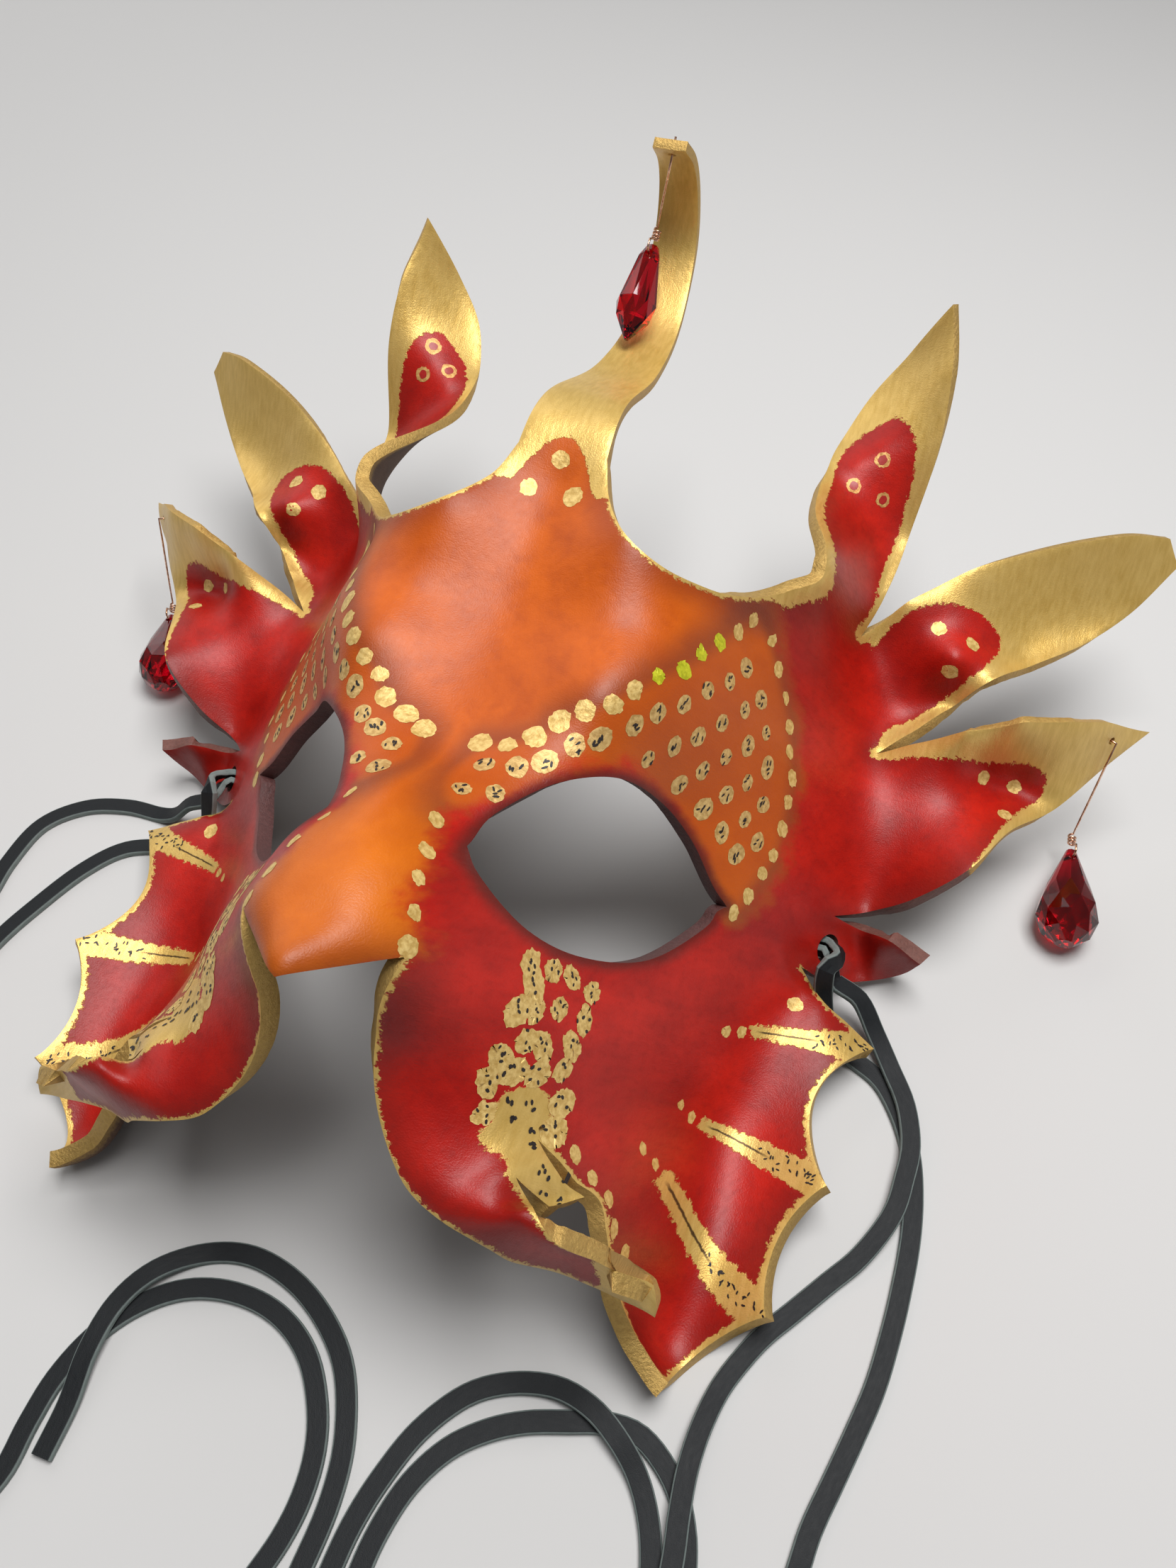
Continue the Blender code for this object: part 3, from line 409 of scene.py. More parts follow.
# %% Sweeping the strip
def lace(name, side, offset, slide, edge_facing, route):
    """One half of a lace as a closed strip, with where each point lies along and round it."""
    stations = lace_path(side, offset, slide, edge_facing, route)
    section = lace_section()
    places = stations[:, :3]
    along = np.concatenate([[0.0], np.cumsum(np.linalg.norm(np.diff(places, axis=0), axis=1))])
    strip = bmesh.new()
    run = strip.verts.layers.float_vector.new("strip")
    rings = []
    for k, station in enumerate(stations):
        before, after = places[max(k - 1, 0)], places[min(k + 1, len(places) - 1)]
        ahead = Vector(after - before).normalized()
        wide = Vector(station[3:]).cross(ahead).normalized()
        flat = ahead.cross(wide)
        ring = []
        for x, y in section:
            place = Vector(places[k]) + wide * x + flat * y + Vector((0, table_spot_y, 0))
            place.z = max(place.z, rest_height)
            vert = strip.verts.new(place * METRE)
            vert[run] = (along[k], x, y)
            ring.append(vert)
        rings.append(ring)
    for ring, following in zip(rings[:-1], rings[1:]):
        for a, b, c, d in zip(ring, ring[1:] + ring[:1], following[1:] + following[:1], following):
            strip.faces.new((a, b, c, d))
    strip.faces.new(rings[0])
    strip.faces.new(rings[-1])
    bmesh.ops.recalc_face_normals(strip, faces=strip.faces)
    mesh = bpy.data.meshes.new(name)
    strip.to_mesh(mesh)
    strip.free()
    mesh.shade_smooth()
    mesh.set_sharp_from_angle(angle=math.radians(15))
    piece = bpy.data.objects.new(name, mesh)
    bpy.context.scene.collection.objects.link(piece)
    path = [tuple((Vector(place) + Vector((0, table_spot_y, 0))) * METRE) for place in places]
    return piece, path, along[-1] * METRE


# %% The four lace halves
half_step = (lace_thickness + lace_gap) / 2
lace_settings = {
    "right_lace_inner": (1, -half_step, under_slide, under_facing, right_inner_route),
    "right_lace_outer": (1, half_step, over_slide, over_facing, right_outer_route),
    "left_lace_outer": (-1, -half_step, under_slide, under_facing, left_outer_route),
    "left_lace_inner": (-1, half_step, over_slide, over_facing, left_inner_route)}
laces = []
for node, settings in lace_settings.items():
    strip, path, length = lace("black_" + node, *settings)
    hole_centre = on_table(to_side(former.form([tie_hole_place]), settings[0]))[0]
    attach(strip, "root")
    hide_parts(node)
    laces.append(strip)
    print(node, round(length * 1000), "mm")

# %% [markdown]
# ## Sums that write nodes
#
# A painted finish needs many small sums on masks and noises, and a screen full of Math nodes is hard to
# read. So one small class wraps a socket and lets Python's operators add the nodes. Numbers go through
# Math nodes, colours and vectors through Vector Math and Mix nodes, and one method adds any other node.


# %% The flow class
class Flow:
    """A socket of a node tree. Sums on it, and its methods, add nodes to the tree."""

    def __init__(self, tree, socket):
        self.tree, self.socket = tree, socket

    def node(self, kind, settings=None, sockets=None, output=0):
        return add_node(self.tree, kind, settings, sockets, output)

    def sum(self, operation, first, second):
        wide = any(isinstance(value, (tuple, Vector)) or getattr(value, "is_wide", False)
                   for value in (first, second))
        kind = "ShaderNodeVectorMath" if wide else "ShaderNodeMath"
        return self.node(kind, {"operation": operation}, {0: first, 1: second})

    @property
    def is_wide(self):
        return self.socket.type in ("VECTOR", "RGBA")

    def __add__(self, other):
        return self.sum("ADD", self, other)

    def __sub__(self, other):
        return self.sum("SUBTRACT", self, other)

    def __rsub__(self, other):
        return self.sum("SUBTRACT", other, self)

    def __mul__(self, other):
        if self.is_wide and isinstance(other, (int, float)):
            return self.node("ShaderNodeVectorMath", {"operation": "SCALE"}, {0: self, "Scale": other})
        return self.sum("MULTIPLY", self, other)

    __radd__, __rmul__ = __add__, __mul__

    def most(self, other):
        return self.sum("MAXIMUM", self, other)

    def size(self):
        return self.sum("MAXIMUM", self, 0 - self)

    def dot(self, direction):
        return self.node("ShaderNodeVectorMath", {"operation": "DOT_PRODUCT"}, {0: self, 1: direction},
                         "Value")

    def step(self, low, high):
        """0 below low and 1 above high, with a smooth rise between them."""
        return self.node("ShaderNodeMapRange", {"interpolation_type": "SMOOTHSTEP"},
                         {"Value": self, "From Min": low, "From Max": high})

    def mix(self, ground, paint):
        """The ground's colour where this mask is 0, and the paint's where it is 1."""
        return self.node("ShaderNodeMix", {"data_type": "RGBA"}, {0: self, 6: ground, 7: paint}, 2)


def add_node(tree, kind, settings=None, sockets=None, output=0):
    """Add a node, set its settings first and then its sockets, and wrap one of its outputs."""
    node = tree.nodes.new(kind)
    for name, value in (settings or {}).items():
        setattr(node, name, value)
    for name, value in (sockets or {}).items():
        socket = node.inputs[name]
        if isinstance(value, Flow):
            tree.links.new(value.socket, socket)
        elif socket.type == "RGBA" and len(value) == 3:
            socket.default_value = (*value, 1.0)
        else:
            socket.default_value = value
    return Flow(tree, node.outputs[output]) if node.outputs else node


# %% A finish and what it reads
class Finish:
    """A material whose Principled shader is fed by flows."""

    def __init__(self, name):
        self.material = bpy.data.materials.new(name)
        self.material.use_nodes = True
        self.tree = self.material.node_tree
        self.shader = self.tree.nodes["Principled BSDF"]

    def attribute(self, name, output="Fac"):
        return add_node(self.tree, "ShaderNodeAttribute", {"attribute_name": name}, None, output)

    def object_places(self):
        """The object's own coordinates, in millimetres."""
        places = add_node(self.tree, "ShaderNodeTexCoord", None, None, "Object")
        return places * (1.0 / METRE)

    def noise(self, places, scale, detail=3.0, roughness=0.55, stretch=(1.0, 1.0, 1.0), colour=False):
        """A noise from 0 to 1, whose scale is in waves per millimetre."""
        stretched = places * tuple(scale * share for share in stretch)
        return add_node(self.tree, "ShaderNodeTexNoise", None,
                        {"Vector": stretched, "Scale": 1.0, "Detail": detail, "Roughness": roughness},
                        "Color" if colour else "Fac")

    def feed(self, **flows):
        """Set or link the shader's sockets: base_color for Base Color, and so on."""
        for name, value in flows.items():
            socket = self.shader.inputs[name.replace("_", " ").title().replace("Ior", "IOR")]
            if isinstance(value, Flow):
                self.tree.links.new(value.socket, socket)
            elif socket.type == "RGBA":
                socket.default_value = (*value, 1.0)
            else:
                socket.default_value = value

    def bump(self, height, depth, strength=1.0):
        """Relief from a flow in which 1 stands the depth, in millimetres, above 0."""
        bumped = add_node(self.tree, "ShaderNodeBump", None,
                          {"Height": height, "Distance": depth * METRE, "Strength": strength})
        self.tree.links.new(bumped.socket, self.shader.inputs["Normal"])


# %% [markdown]
# ## Black lace
#
# The lace is dyed right through and then cut, so its flat sides are nearly black and a little waxy, and
# its cut edges are paler, grey-green and fibrous. The strip's own coordinates tell the two apart.

# %% The lace's finish
lace_black = Finish("black dyed lace")
strip_place = lace_black.attribute("strip", "Vector")
cut_side = strip_place.dot((0.0, 1.0, 0.0)).size().step(lace_width / 2 - lace_corner, lace_width / 2 - 0.1)
fibres = lace_black.noise(strip_place, 1.6, detail=4.0, stretch=(0.35, 1.0, 1.0))
pores = lace_black.noise(strip_place, 5.0, detail=2.0)
flat_black = fibres.mix((0.003, 0.004, 0.005), (0.012, 0.014, 0.016))
edge_grey = fibres.mix((0.100, 0.125, 0.120), (0.240, 0.280, 0.265))
lace_black.feed(base_color=cut_side.mix(flat_black, edge_grey),
                roughness=cut_side * 0.25 + fibres * 0.2 + 0.50, specular_ior_level=0.30)
lace_black.bump(fibres * 0.6 + pores * 0.4, 0.10)
for strip in laces:
    strip.data.materials.append(lace_black.material)

# %% [markdown]
# ## The zones of the paint
#
# The maker painted over the formed hide with a sponge and a brush: orange on the forehead and nose, red
# elsewhere, and gold on the tips, edges and ribs. Each zone is a loop on the flat pattern, and each
# point of the hide keeps its distance to the loop's edge. A distance can be made rough by noise in the
# shader, so the borders look brushed at any zoom, while a picture would have a fixed number of pixels.


# %% Distances on the pattern
def gap_to_line(places, line):
    """The distance of each place to a broken line."""
    nearest = np.full(len(places), 1e9)
    for a, b in zip(line[:-1], line[1:]):
        span = b - a
        share = np.clip((places - a) @ span / max(float(span @ span), 1e-9), 0.0, 1.0)
        nearest = np.minimum(nearest, np.linalg.norm(places - a - share[:, None] * span, axis=1))
    return nearest


def inside(places, loop):
    """Whether each place is inside a closed loop."""
    crossings = np.zeros(len(places), int)
    for a, b in zip(loop, np.roll(loop, -1, axis=0)):
        if a[1] != b[1]:
            spans = (a[1] > places[:, 1]) != (b[1] > places[:, 1])
            crossings += spans & (places[:, 0] < a[0] + (places[:, 1] - a[1]) * (b[0] - a[0]) / (b[1] - a[1]))
    return crossings % 2 == 1


def depth_in(places, marks, step=1.5):
    """How far each place is inside a smooth closed loop through the marks: below 0 outside it."""
    loop = smooth_curve(list(marks) + [marks[0]], step)
    return gap_to_line(places, loop) * np.where(inside(places, loop[:-1]), 1.0, -1.0)


# %% Zones, as marks on the half pattern
horn_patch = [(57, 99), (61.5, 95), (63.8, 88), (64, 79), (62.5, 66), (61, 52), (50, 50), (43, 60),
              (42.5, 70), (44.5, 80), (46.5, 88), (51, 95)]
side_horn_patch = [(64, 43), (66.5, 50), (70.5, 55.5), (77.5, 60), (84, 60.8), (90, 59.2), (92.5, 55.5),
                   (90.5, 49.5), (86.5, 43.8), (81.5, 38.3), (75, 31.0), (66, 22), (58, 30)]
ear_patch = [(60, 10), (72.5, 21.5), (87.5, 24.8), (95, 26.8), (104, 29), (108, 28.2), (109, 25),
             (106, 18.6), (102, 12.8), (97.5, 5), (95, -2), (90, -9), (80, -16), (70, -19), (60, -5)]
inner_horn_lobe = [(40, 62), (38, 90), (50, 118), (63, 132), (74, 110), (74, 90), (71, 70), (66, 60),
                   (52, 58)]
side_horn_lobe = [(76, 36), (90, 36), (128, 66), (140, 92), (122, 104), (90, 84), (68, 62), (64, 50)]
ear_lobe = [(90, -6), (100, -1), (128, 20), (142, 50), (120, 54), (84, 38), (72, 26), (90, 12)]
orange_zone = [(-6, -60), (14.5, -47), (12, -41), (9.6, -31), (8.6, -25), (12, -19), (20, -10.5), (29, -5),
               (36, -6), (42.5, -11), (48, -18), (53, -24), (57.5, -17), (59.5, -9), (59.5, -3), (59, 3),
               (58, 9), (56.5, 15), (54.5, 21), (51.5, 26.5), (49, 32), (46, 38), (36, 43), (12, 56),
               (-6, 60)]
tongue_patch = [(28.6, -62.6), (31.4, -61.2), (34.2, -62.6), (35.4, -66), (35.4, -69.5), (38.8, -74),
                (43.0, -79), (38, -82.5), (33.4, -77.6), (31.6, -73.6), (28.6, -72.4), (26.4, -70.4),
                (27.6, -68.2), (27.4, -65.4)]
tusk_gold = [(41, -107), (45, -103), (50, -110), (55, -116), (46, -121), (42, -114)]
crest_line = [(5.4, -8.6), (10, -7.4), (14.5, -5), (18, -0.5), (24, 3.8), (30, 11), (35, 18.7), (38.5, 27),
              (42, 36)]
border_line = [(45.5, 33), (50.3, 25), (54.5, 14.7), (57, 3), (57.5, -8), (55, -16.5), (53, -22.5)]
fan_zone = crest_line + border_line + [(48, -17.5), (42.5, -11), (36, -6.5), (29, -6), (20, -11.5), (13, -20),
                                       (8, -22), (4, -16)]
ribs = [((61.5, -43.2), (86.5, -39.5)), ((57.0, -63.2), (83, -66.5)), ((53.2, -73.2), (78, -91))]
rib_root_half, rib_tip_half = 1.2, 3.1
rim_widths = {"nose": 0.0, "cheek": 0.5, "tusk end": 0.8, "tusk": 0.6, "tongue side": 0.6, "tongue end": 0.6,
              "tongue": 0.6, "fin inner": 0.7, "fin": 1.1, "fin upper": 0.5, "tab": 0.0, "tab upper": 0.0,
              "ear lower": 3.4, "ear upper": 1.6, "side horn lower": 1.6, "side horn end": 3.0,
              "side horn upper": 1.6, "inner horn outer": 1.4, "inner horn inner": 2.2, "forehead": 0.6,
              "blade": 2.0, "blade end": 3.0}
rib_overshoot = 1.2
ear_gold_start, ear_gold_slope = 96.0, 0.35
blade_gold_crown, blade_gold_fall, blade_gold_floor, blade_gold_reach = 55.0, 0.16, 44.0, 14.0
far_outside = -20.0


# %% What each place of the pattern knows
def edge_points(name, edge, step):
    """One edge of the outline as a fine line on the pattern."""
    if edge is None:
        runs = [scallop(fin_tips[k], fin_tips[k + 1], depth, step) for k, depth in enumerate(scallop_depths)]
        return np.vstack([run[:-1] for run in runs] + [runs[-1][-1:]])
    return smooth_curve([pattern for pattern, _ in edge], step)


def rib_depth(places):
    """How far each place is inside the painted rib that it is nearest to."""
    depth = np.full(len(places), -1e9)
    for root, tip in ribs:
        start, span = np.array(root), np.array(tip) - np.array(root)
        share = (places - start) @ span / (span @ span)
        across = np.abs((places - start) @ np.array([-span[1], span[0]])) / np.linalg.norm(span)
        half = rib_root_half + (rib_tip_half - rib_root_half) * np.clip(share, 0.0, 1.0)
        ends = np.minimum(share, rib_overshoot - share) * np.linalg.norm(span)
        depth = np.maximum(depth, np.minimum(half - across, ends))
    return depth


def paint_distances(pattern):
    """The distances, in millimetres, that the hide's finish reads at each place."""
    places = np.column_stack([np.abs(pattern[:, 0]), pattern[:, 1]])
    rim, gold_rim = np.full(len(places), 1e9), np.full(len(places), -1e9)
    for name, edge in outline_of_half().items():
        gap = gap_to_line(places, edge_points(name, edge, 1.5))
        rim = np.minimum(rim, gap)
        if name == "ear lower":
            width = np.clip((places[:, 0] - ear_gold_start) * ear_gold_slope, -1.0, rim_widths[name])
            gold_rim = np.maximum(gold_rim, width - gap)
        elif rim_widths[name]:
            gold_rim = np.maximum(gold_rim, rim_widths[name] - gap)
    eye_line = smooth_curve([place[:2] for place in eye_inner_edge + eye_outer_edge[1:]], 1.5)
    eye = gap_to_line(places, eye_line)
    gold = np.full(len(places), far_outside)
    for lobe, patch in ((inner_horn_lobe, horn_patch), (side_horn_lobe, side_horn_patch),
                        (ear_lobe, ear_patch)):
        gold = np.maximum(gold, np.minimum(depth_in(places, lobe), -depth_in(places, patch)))
    arch = np.minimum(places[:, 1] - (blade_gold_crown - blade_gold_fall * places[:, 0] ** 2),
                      places[:, 1] - blade_gold_floor)
    blade = np.where(places[:, 0] < blade_gold_reach, arch, far_outside)
    tongue, tusk = depth_in(places, tongue_patch), depth_in(places, tusk_gold)
    for zone in (blade, tongue, tusk, rib_depth(places), gold_rim):
        gold = np.maximum(gold, zone)
    return {"rim": rim, "eye": eye, "gold": np.maximum(gold, far_outside),
            "orange": depth_in(places, orange_zone), "fan": depth_in(places, fan_zone)}


# %% [markdown]
# ## The hide
#
# The flat half is filled with small triangles, formed, mirrored and given its thickness by Solidify,
# which leaves the grain side where it was formed. The ends of the horns, ears and blade were pared
# thinner from behind. A tiny Bevel breaks the cut edges, because no knife leaves a perfect corner.

# %% Cutting the flat half
hide_grid = 1.15
rim_step = 1.0


def round_hole(place, diameter, sides):
    """A hole's outline on the pattern, which the forming turns into a circle on the hide."""
    _, stretch_x, stretch_y, normal = (part[0] for part in former.frame_at([place]))
    along = stretch_x / np.linalg.norm(stretch_x)
    across = np.cross(normal, along)
    unstretch = np.linalg.pinv(np.column_stack([stretch_x, stretch_y]))
    angles = [2 * math.pi * k / sides for k in range(sides)]
    return np.array([np.array(place) + unstretch @ (along * math.cos(a) + across * math.sin(a)) * diameter / 2
                     for a in angles])


def half_loops():
    """The half pattern's outer loop and the loops of its holes."""
    outline = [point for name, edge in outline_of_half().items()
               for point in edge_points(name, edge, rim_step)[:-1]]
    tip_height = blade_edge()[-1][0][1]
    hole_height = tip_height - blade_hole_setback
    below_hole = hole_height - wire_hole_diameter / 2
    arc = np.array([(math.sin(turn), math.cos(turn)) for turn in np.linspace(0.0, math.pi, 9)])
    arc = arc * wire_hole_diameter / 2 + (0.0, hole_height)
    arc[[0, -1], 0] = 0.0
    steps = round((below_hole - nose_edge[0][1]) / hide_grid)
    down_midline = [(0.0, below_hole + (nose_edge[0][1] - below_hole) * k / steps) for k in range(1, steps)]
    outline = np.vstack([outline, [(0.0, tip_height)], arc, down_midline])
    eye = np.vstack([smooth_curve([place[:2] for place in edge], rim_step)[:-1]
                     for edge in (eye_inner_edge, eye_outer_edge)])
    return outline, [eye, round_hole(tie_hole_place, tie_hole_diameter, 32),
                     round_hole(ear_hole_place, wire_hole_diameter, 12)]


def flat_half():
    """The half pattern filled with triangles: its places, and its triangles."""
    outline, holes = half_loops()
    borders = [outline] + holes
    border = np.vstack(borders)
    low, high = border.min(axis=0), border.max(axis=0)
    rows = np.arange(int((high[1] - low[1]) / (hide_grid * 0.866)) + 1)
    columns = np.arange(int((high[0] - low[0]) / hide_grid) + 1)
    grid = np.array([(low[0] + (c + 0.5 * (r % 2)) * hide_grid, low[1] + r * hide_grid * 0.866)
                     for r in rows for c in columns])
    grid = grid[inside(grid, outline)]
    for hole in holes:
        grid = grid[~inside(grid, hole)]
    closed = [np.vstack([loop, loop[:1]]) for loop in borders]
    clear = np.min([gap_to_line(grid, line) for line in closed], axis=0) > 0.55 * hide_grid
    grid = grid[clear]
    edges, first = [], 0
    for loop in borders:
        edges += [(first + k, first + (k + 1) % len(loop)) for k in range(len(loop))]
        first += len(loop)
    places = [Vector(place) for place in np.vstack([border, grid])]
    cut = delaunay_2d_cdt(places, edges, [list(range(len(outline)))], 1, 1e-5)
    points = np.array([tuple(point) for point in cut[0]])
    triangles = np.array(cut[2])
    middles = points[triangles].mean(axis=1)
    kept = ~np.any([inside(middles, hole) for hole in holes], axis=0)
    return points, triangles[kept]


# %% Both halves as one sheet
def whole_pattern():
    """The half pattern and its mirror image, joined along the midline."""
    points, triangles = flat_half()
    a, b, c = (points[triangles[:, k]] for k in range(3))
    turned = (b[:, 0] - a[:, 0]) * (c[:, 1] - a[:, 1]) - (b[:, 1] - a[:, 1]) * (c[:, 0] - a[:, 0]) < 0
    triangles[turned] = triangles[turned][:, ::-1]
    points[np.abs(points[:, 0]) < 1e-4, 0] = 0.0
    away = points[:, 0] > 0
    numbers = np.arange(len(points))
    numbers[away] = len(points) + np.arange(away.sum())
    mirrored = points[away] * (-1.0, 1.0)
    return np.vstack([points, mirrored]), np.vstack([triangles, numbers[triangles][:, ::-1]])


pattern, triangles = whole_pattern()
side = np.where(pattern[:, :1] < 0, -1.0, 1.0)
formed = former.form_with_pads(np.column_stack([np.abs(pattern[:, 0]), pattern[:, 1]]))
grain_places = on_table(formed * np.hstack([side, np.ones((len(side), 2))]))
print("the pattern has", len(pattern), "points and", len(triangles), "triangles")

# %% The sheet and what it knows
sheet_mesh = bpy.data.meshes.new("painted_hide")
sheet_mesh.from_pydata(grain_places.tolist(), [], triangles.tolist())
knowledge = paint_distances(pattern)
for name, values in knowledge.items():
    sheet_mesh.attributes.new(name, "FLOAT", "POINT").data.foreach_set("value", values)
flat_places = np.column_stack([pattern, np.zeros(len(pattern))])
sheet_mesh.attributes.new("pattern", "FLOAT_VECTOR", "POINT").data.foreach_set("vector", flat_places.ravel())
sheet_mesh.shade_smooth()
hide = bpy.data.objects.new("painted_hide", sheet_mesh)
bpy.context.scene.collection.objects.link(hide)
grain_sheet = bpy.data.objects.new("grain_sheet", sheet_mesh.copy())
bpy.context.scene.collection.objects.link(grain_sheet)


# %% Its thickness
def pared_share(place):
    """0 where the hide keeps its thickness, rising to 1 where it is pared."""
    if place[1] < pared_above:
        return 0.0
    reach = math.hypot(place[0], pared_reach_stretch * place[1])
    return min(1.0, max(0.0, (reach - pared_from) / (pared_full - pared_from)))


full = hide.vertex_groups.new(name="full thickness")
for k, place in enumerate(pattern):
    full.add([k], 1.0 - pared_share(place), "REPLACE")
shell = hide.modifiers.new("thickness", "SOLIDIFY")
shell.thickness = hide_thickness * METRE
shell.offset = -1.0
shell.vertex_group = full.name
shell.thickness_vertex_group = pared_thickness / hide_thickness
shell.material_offset = 1
shell.material_offset_rim = 2
corner = hide.modifiers.new("broken corner", "BEVEL")
corner.width = broken_corner * METRE
corner.segments = 2
corner.limit_method = "ANGLE"
corner.angle_limit = math.radians(50)

# %% [markdown]
# ## The grain side's finish
#
# Dye sinks in unevenly, so each ground colour is a mix of a dark and a bright tone by a slow noise. Painted
# shade darkens the tones towards the cut edges and in a band just outside the fan of scales. The gold is
# metal powder in a binder: metallic, brushed, and broken up at its borders. One coat of wax lies over it all.

# %% Dyed hide under gold paint
grain = Finish("painted grain")
place = grain.attribute("pattern", "Vector")
mottle = grain.noise(place, 0.055, detail=5.0, roughness=0.6)
cloud = grain.noise(place, 0.16, detail=4.0, roughness=0.6)
speck = grain.noise(place, 0.9, detail=3.0)
pores = grain.noise(place, 3.2, detail=2.0)
brush = grain.noise(place, 1.1, detail=4.0, stretch=(1.0, 0.22, 1.0))
rim, eye, gold_gap = grain.attribute("rim"), grain.attribute("eye"), grain.attribute("gold")
fan_gap = grain.attribute("fan")
red = mottle.step(0.25, 0.75).mix((0.30, 0.004, 0.002), (0.54, 0.013, 0.005))
red = (cloud.step(0.38, 0.78) * 0.40).mix(red, (0.19, 0.002, 0.001))
red = (speck.step(0.45, 0.75) * 0.18).mix(red, (0.10, 0.002, 0.002))
orange = mottle.step(0.20, 0.80).mix((0.46, 0.075, 0.002), (0.64, 0.120, 0.003))
orange = (cloud.step(0.38, 0.75) * 0.40).mix(orange, (0.30, 0.036, 0.002))
nose = place.dot((0.0, -1.0, 0.0)).step(10.0, 34.0)
amber = mottle.step(0.25, 0.75).mix((0.50, 0.105, 0.003), (0.66, 0.165, 0.004))
orange = (nose * 0.8).mix(orange, amber)
fan = (fan_gap + cloud * 2.0).step(0.0, 3.0)
orange = (fan * 0.6).mix(orange, (0.40, 0.065, 0.006))
# Painted shade: a darker band on the orange just outside the fan of scales, along the crease at the crest and
# border.
painted_shade_round_fan = (1 - (fan_gap.size() + (cloud - 0.5) * 5.0).step(0.5, 7.0)) * (1 - fan) * 0.65
orange = painted_shade_round_fan.mix(orange, (0.16, 0.030, 0.014))
dyed = (grain.attribute("orange") + (cloud - 0.5) * 9.0).step(-2.2, 2.2).mix(red, orange)
burnt = (1 - (eye + (cloud - 0.5) * 2.5).step(0.0, 2.6)) * 0.75
dyed = burnt.mix(dyed, (0.045, 0.012, 0.009))
# Painted shade: the ground tones darken towards the cut edges.
painted_edge_shade = (1 - (rim + (cloud - 0.5) * 6.0).step(0.3, 7.0)) * 0.45
dyed = painted_edge_shade.mix(dyed, (0.13, 0.010, 0.007))
print("grain side:", len(grain.tree.nodes), "nodes so far")

# %% Gold over the dye
gold_mask = (gold_gap + (speck - 0.5) * 2.6 + (pores - 0.5) * 1.0).step(-0.18, 0.22)
worn = (brush * 0.6 + speck * 0.4).step(0.64, 0.78)
gold_tone = brush.step(0.2, 0.8).mix((0.60, 0.375, 0.085), (0.76, 0.510, 0.150))
gold_tone = (mottle.step(0.3, 0.7) * 0.35).mix(gold_tone, (0.80, 0.560, 0.200))
gold_tone = (worn * 0.4).mix(gold_tone, (0.36, 0.165, 0.045))
groove_mask = None
for root, tip in ribs:
    start, finish = Vector((*root, 0.0)), Vector((*tip, 0.0))
    ahead = (finish - start).normalized()
    for mirror in (1.0, -1.0):
        flip = Vector((mirror, 1.0, 1.0))
        along = place.dot(tuple(ahead * flip)) - ahead.dot(start)
        sideways = Vector((-ahead.y, ahead.x, 0.0))
        across = (place.dot(tuple(sideways * flip)) - sideways.dot(start) + (speck - 0.5) * 0.5).size()
        on_side = place.dot((mirror, 0.0, 0.0)).step(10.0, 11.0)
        line = (1 - across.step(0.08, 0.28)) * along.step(1.0, 3.0) * on_side
        line = line * (1 - along.step((finish - start).length * 0.45, (finish - start).length * 0.60))
        groove_mask = line if groove_mask is None else groove_mask.most(line)
gold_tone = (groove_mask * 0.9).mix(gold_tone, (0.03, 0.012, 0.008))
grain.feed(base_color=gold_mask.mix(dyed, gold_tone), metallic=gold_mask * 0.45,
           roughness=speck * 0.16 + 0.34 - gold_mask * 0.02, specular_ior_level=0.30, coat_weight=0.08,
           coat_roughness=0.34)
grain.bump(pores * 0.6 + speck * 0.5 + gold_mask * (brush * 0.5 + 0.5), 0.10)
print("grain side:", len(grain.tree.nodes), "nodes")

# %% [markdown]
# ## The flesh side and the cut edges
#
# Behind, the hide is raw: brown and fuzzy, with a haze of gold and dye that came round the edge. The
# cut edge is painted gold wherever the rim is, raw and purple-brown round the eyes, and dull elsewhere.

# %% Flesh side
flesh = Finish("raw flesh side")
place = flesh.attribute("pattern", "Vector")
fuzz = flesh.noise(place, 1.4, detail=5.0, roughness=0.7)
patches = flesh.noise(place, 0.09, detail=4.0)
raw = patches.step(0.3, 0.7).mix((0.060, 0.026, 0.014), (0.125, 0.060, 0.032))
raw = (fuzz * 0.5).mix(raw, (0.20, 0.105, 0.058))
by_rim = 1 - flesh.attribute("rim").step(1.5, 4.5)
haze = (flesh.attribute("gold") + (fuzz - 0.5) * 4.0).step(-1.5, 1.0) * by_rim
flesh.feed(base_color=(haze * 0.8).mix(raw, (0.50, 0.31, 0.10)), metallic=haze * 0.5, roughness=0.82)
flesh.bump(fuzz, 0.25)

# %% Cut edges
cut = Finish("cut edge")
place = cut.object_places()
grit = cut.noise(place, 1.3, detail=5.0, roughness=0.65)
raw_edge = grit.mix((0.075, 0.022, 0.016), (0.25, 0.10, 0.075))
eye_edge = grit.mix((0.035, 0.010, 0.010), (0.150, 0.052, 0.046))
raw_edge = (1 - cut.attribute("eye").step(1.0, 3.0)).mix(raw_edge, eye_edge)
painted = (cut.attribute("gold") + (grit - 0.5) * 0.8).step(-0.3, 0.2)
edge_gold = grit.mix((0.38, 0.21, 0.050), (0.76, 0.52, 0.17))
cut.feed(base_color=painted.mix(raw_edge, edge_gold), metallic=painted * 0.65, roughness=grit * 0.2 + 0.42)
cut.bump(grit, 0.35)
for finish in (grain, flesh, cut):
    hide.data.materials.append(finish.material)

# %% The finished hide as a plain mesh that rests on the table


def plain_mesh(obj):
    """The object's evaluated mesh, with its modifiers worked in."""
    bpy.context.view_layer.update()
    evaluated = obj.evaluated_get(bpy.context.evaluated_depsgraph_get())
    mesh = bpy.data.meshes.new_from_object(evaluated)
    mesh.name = obj.name
    return mesh


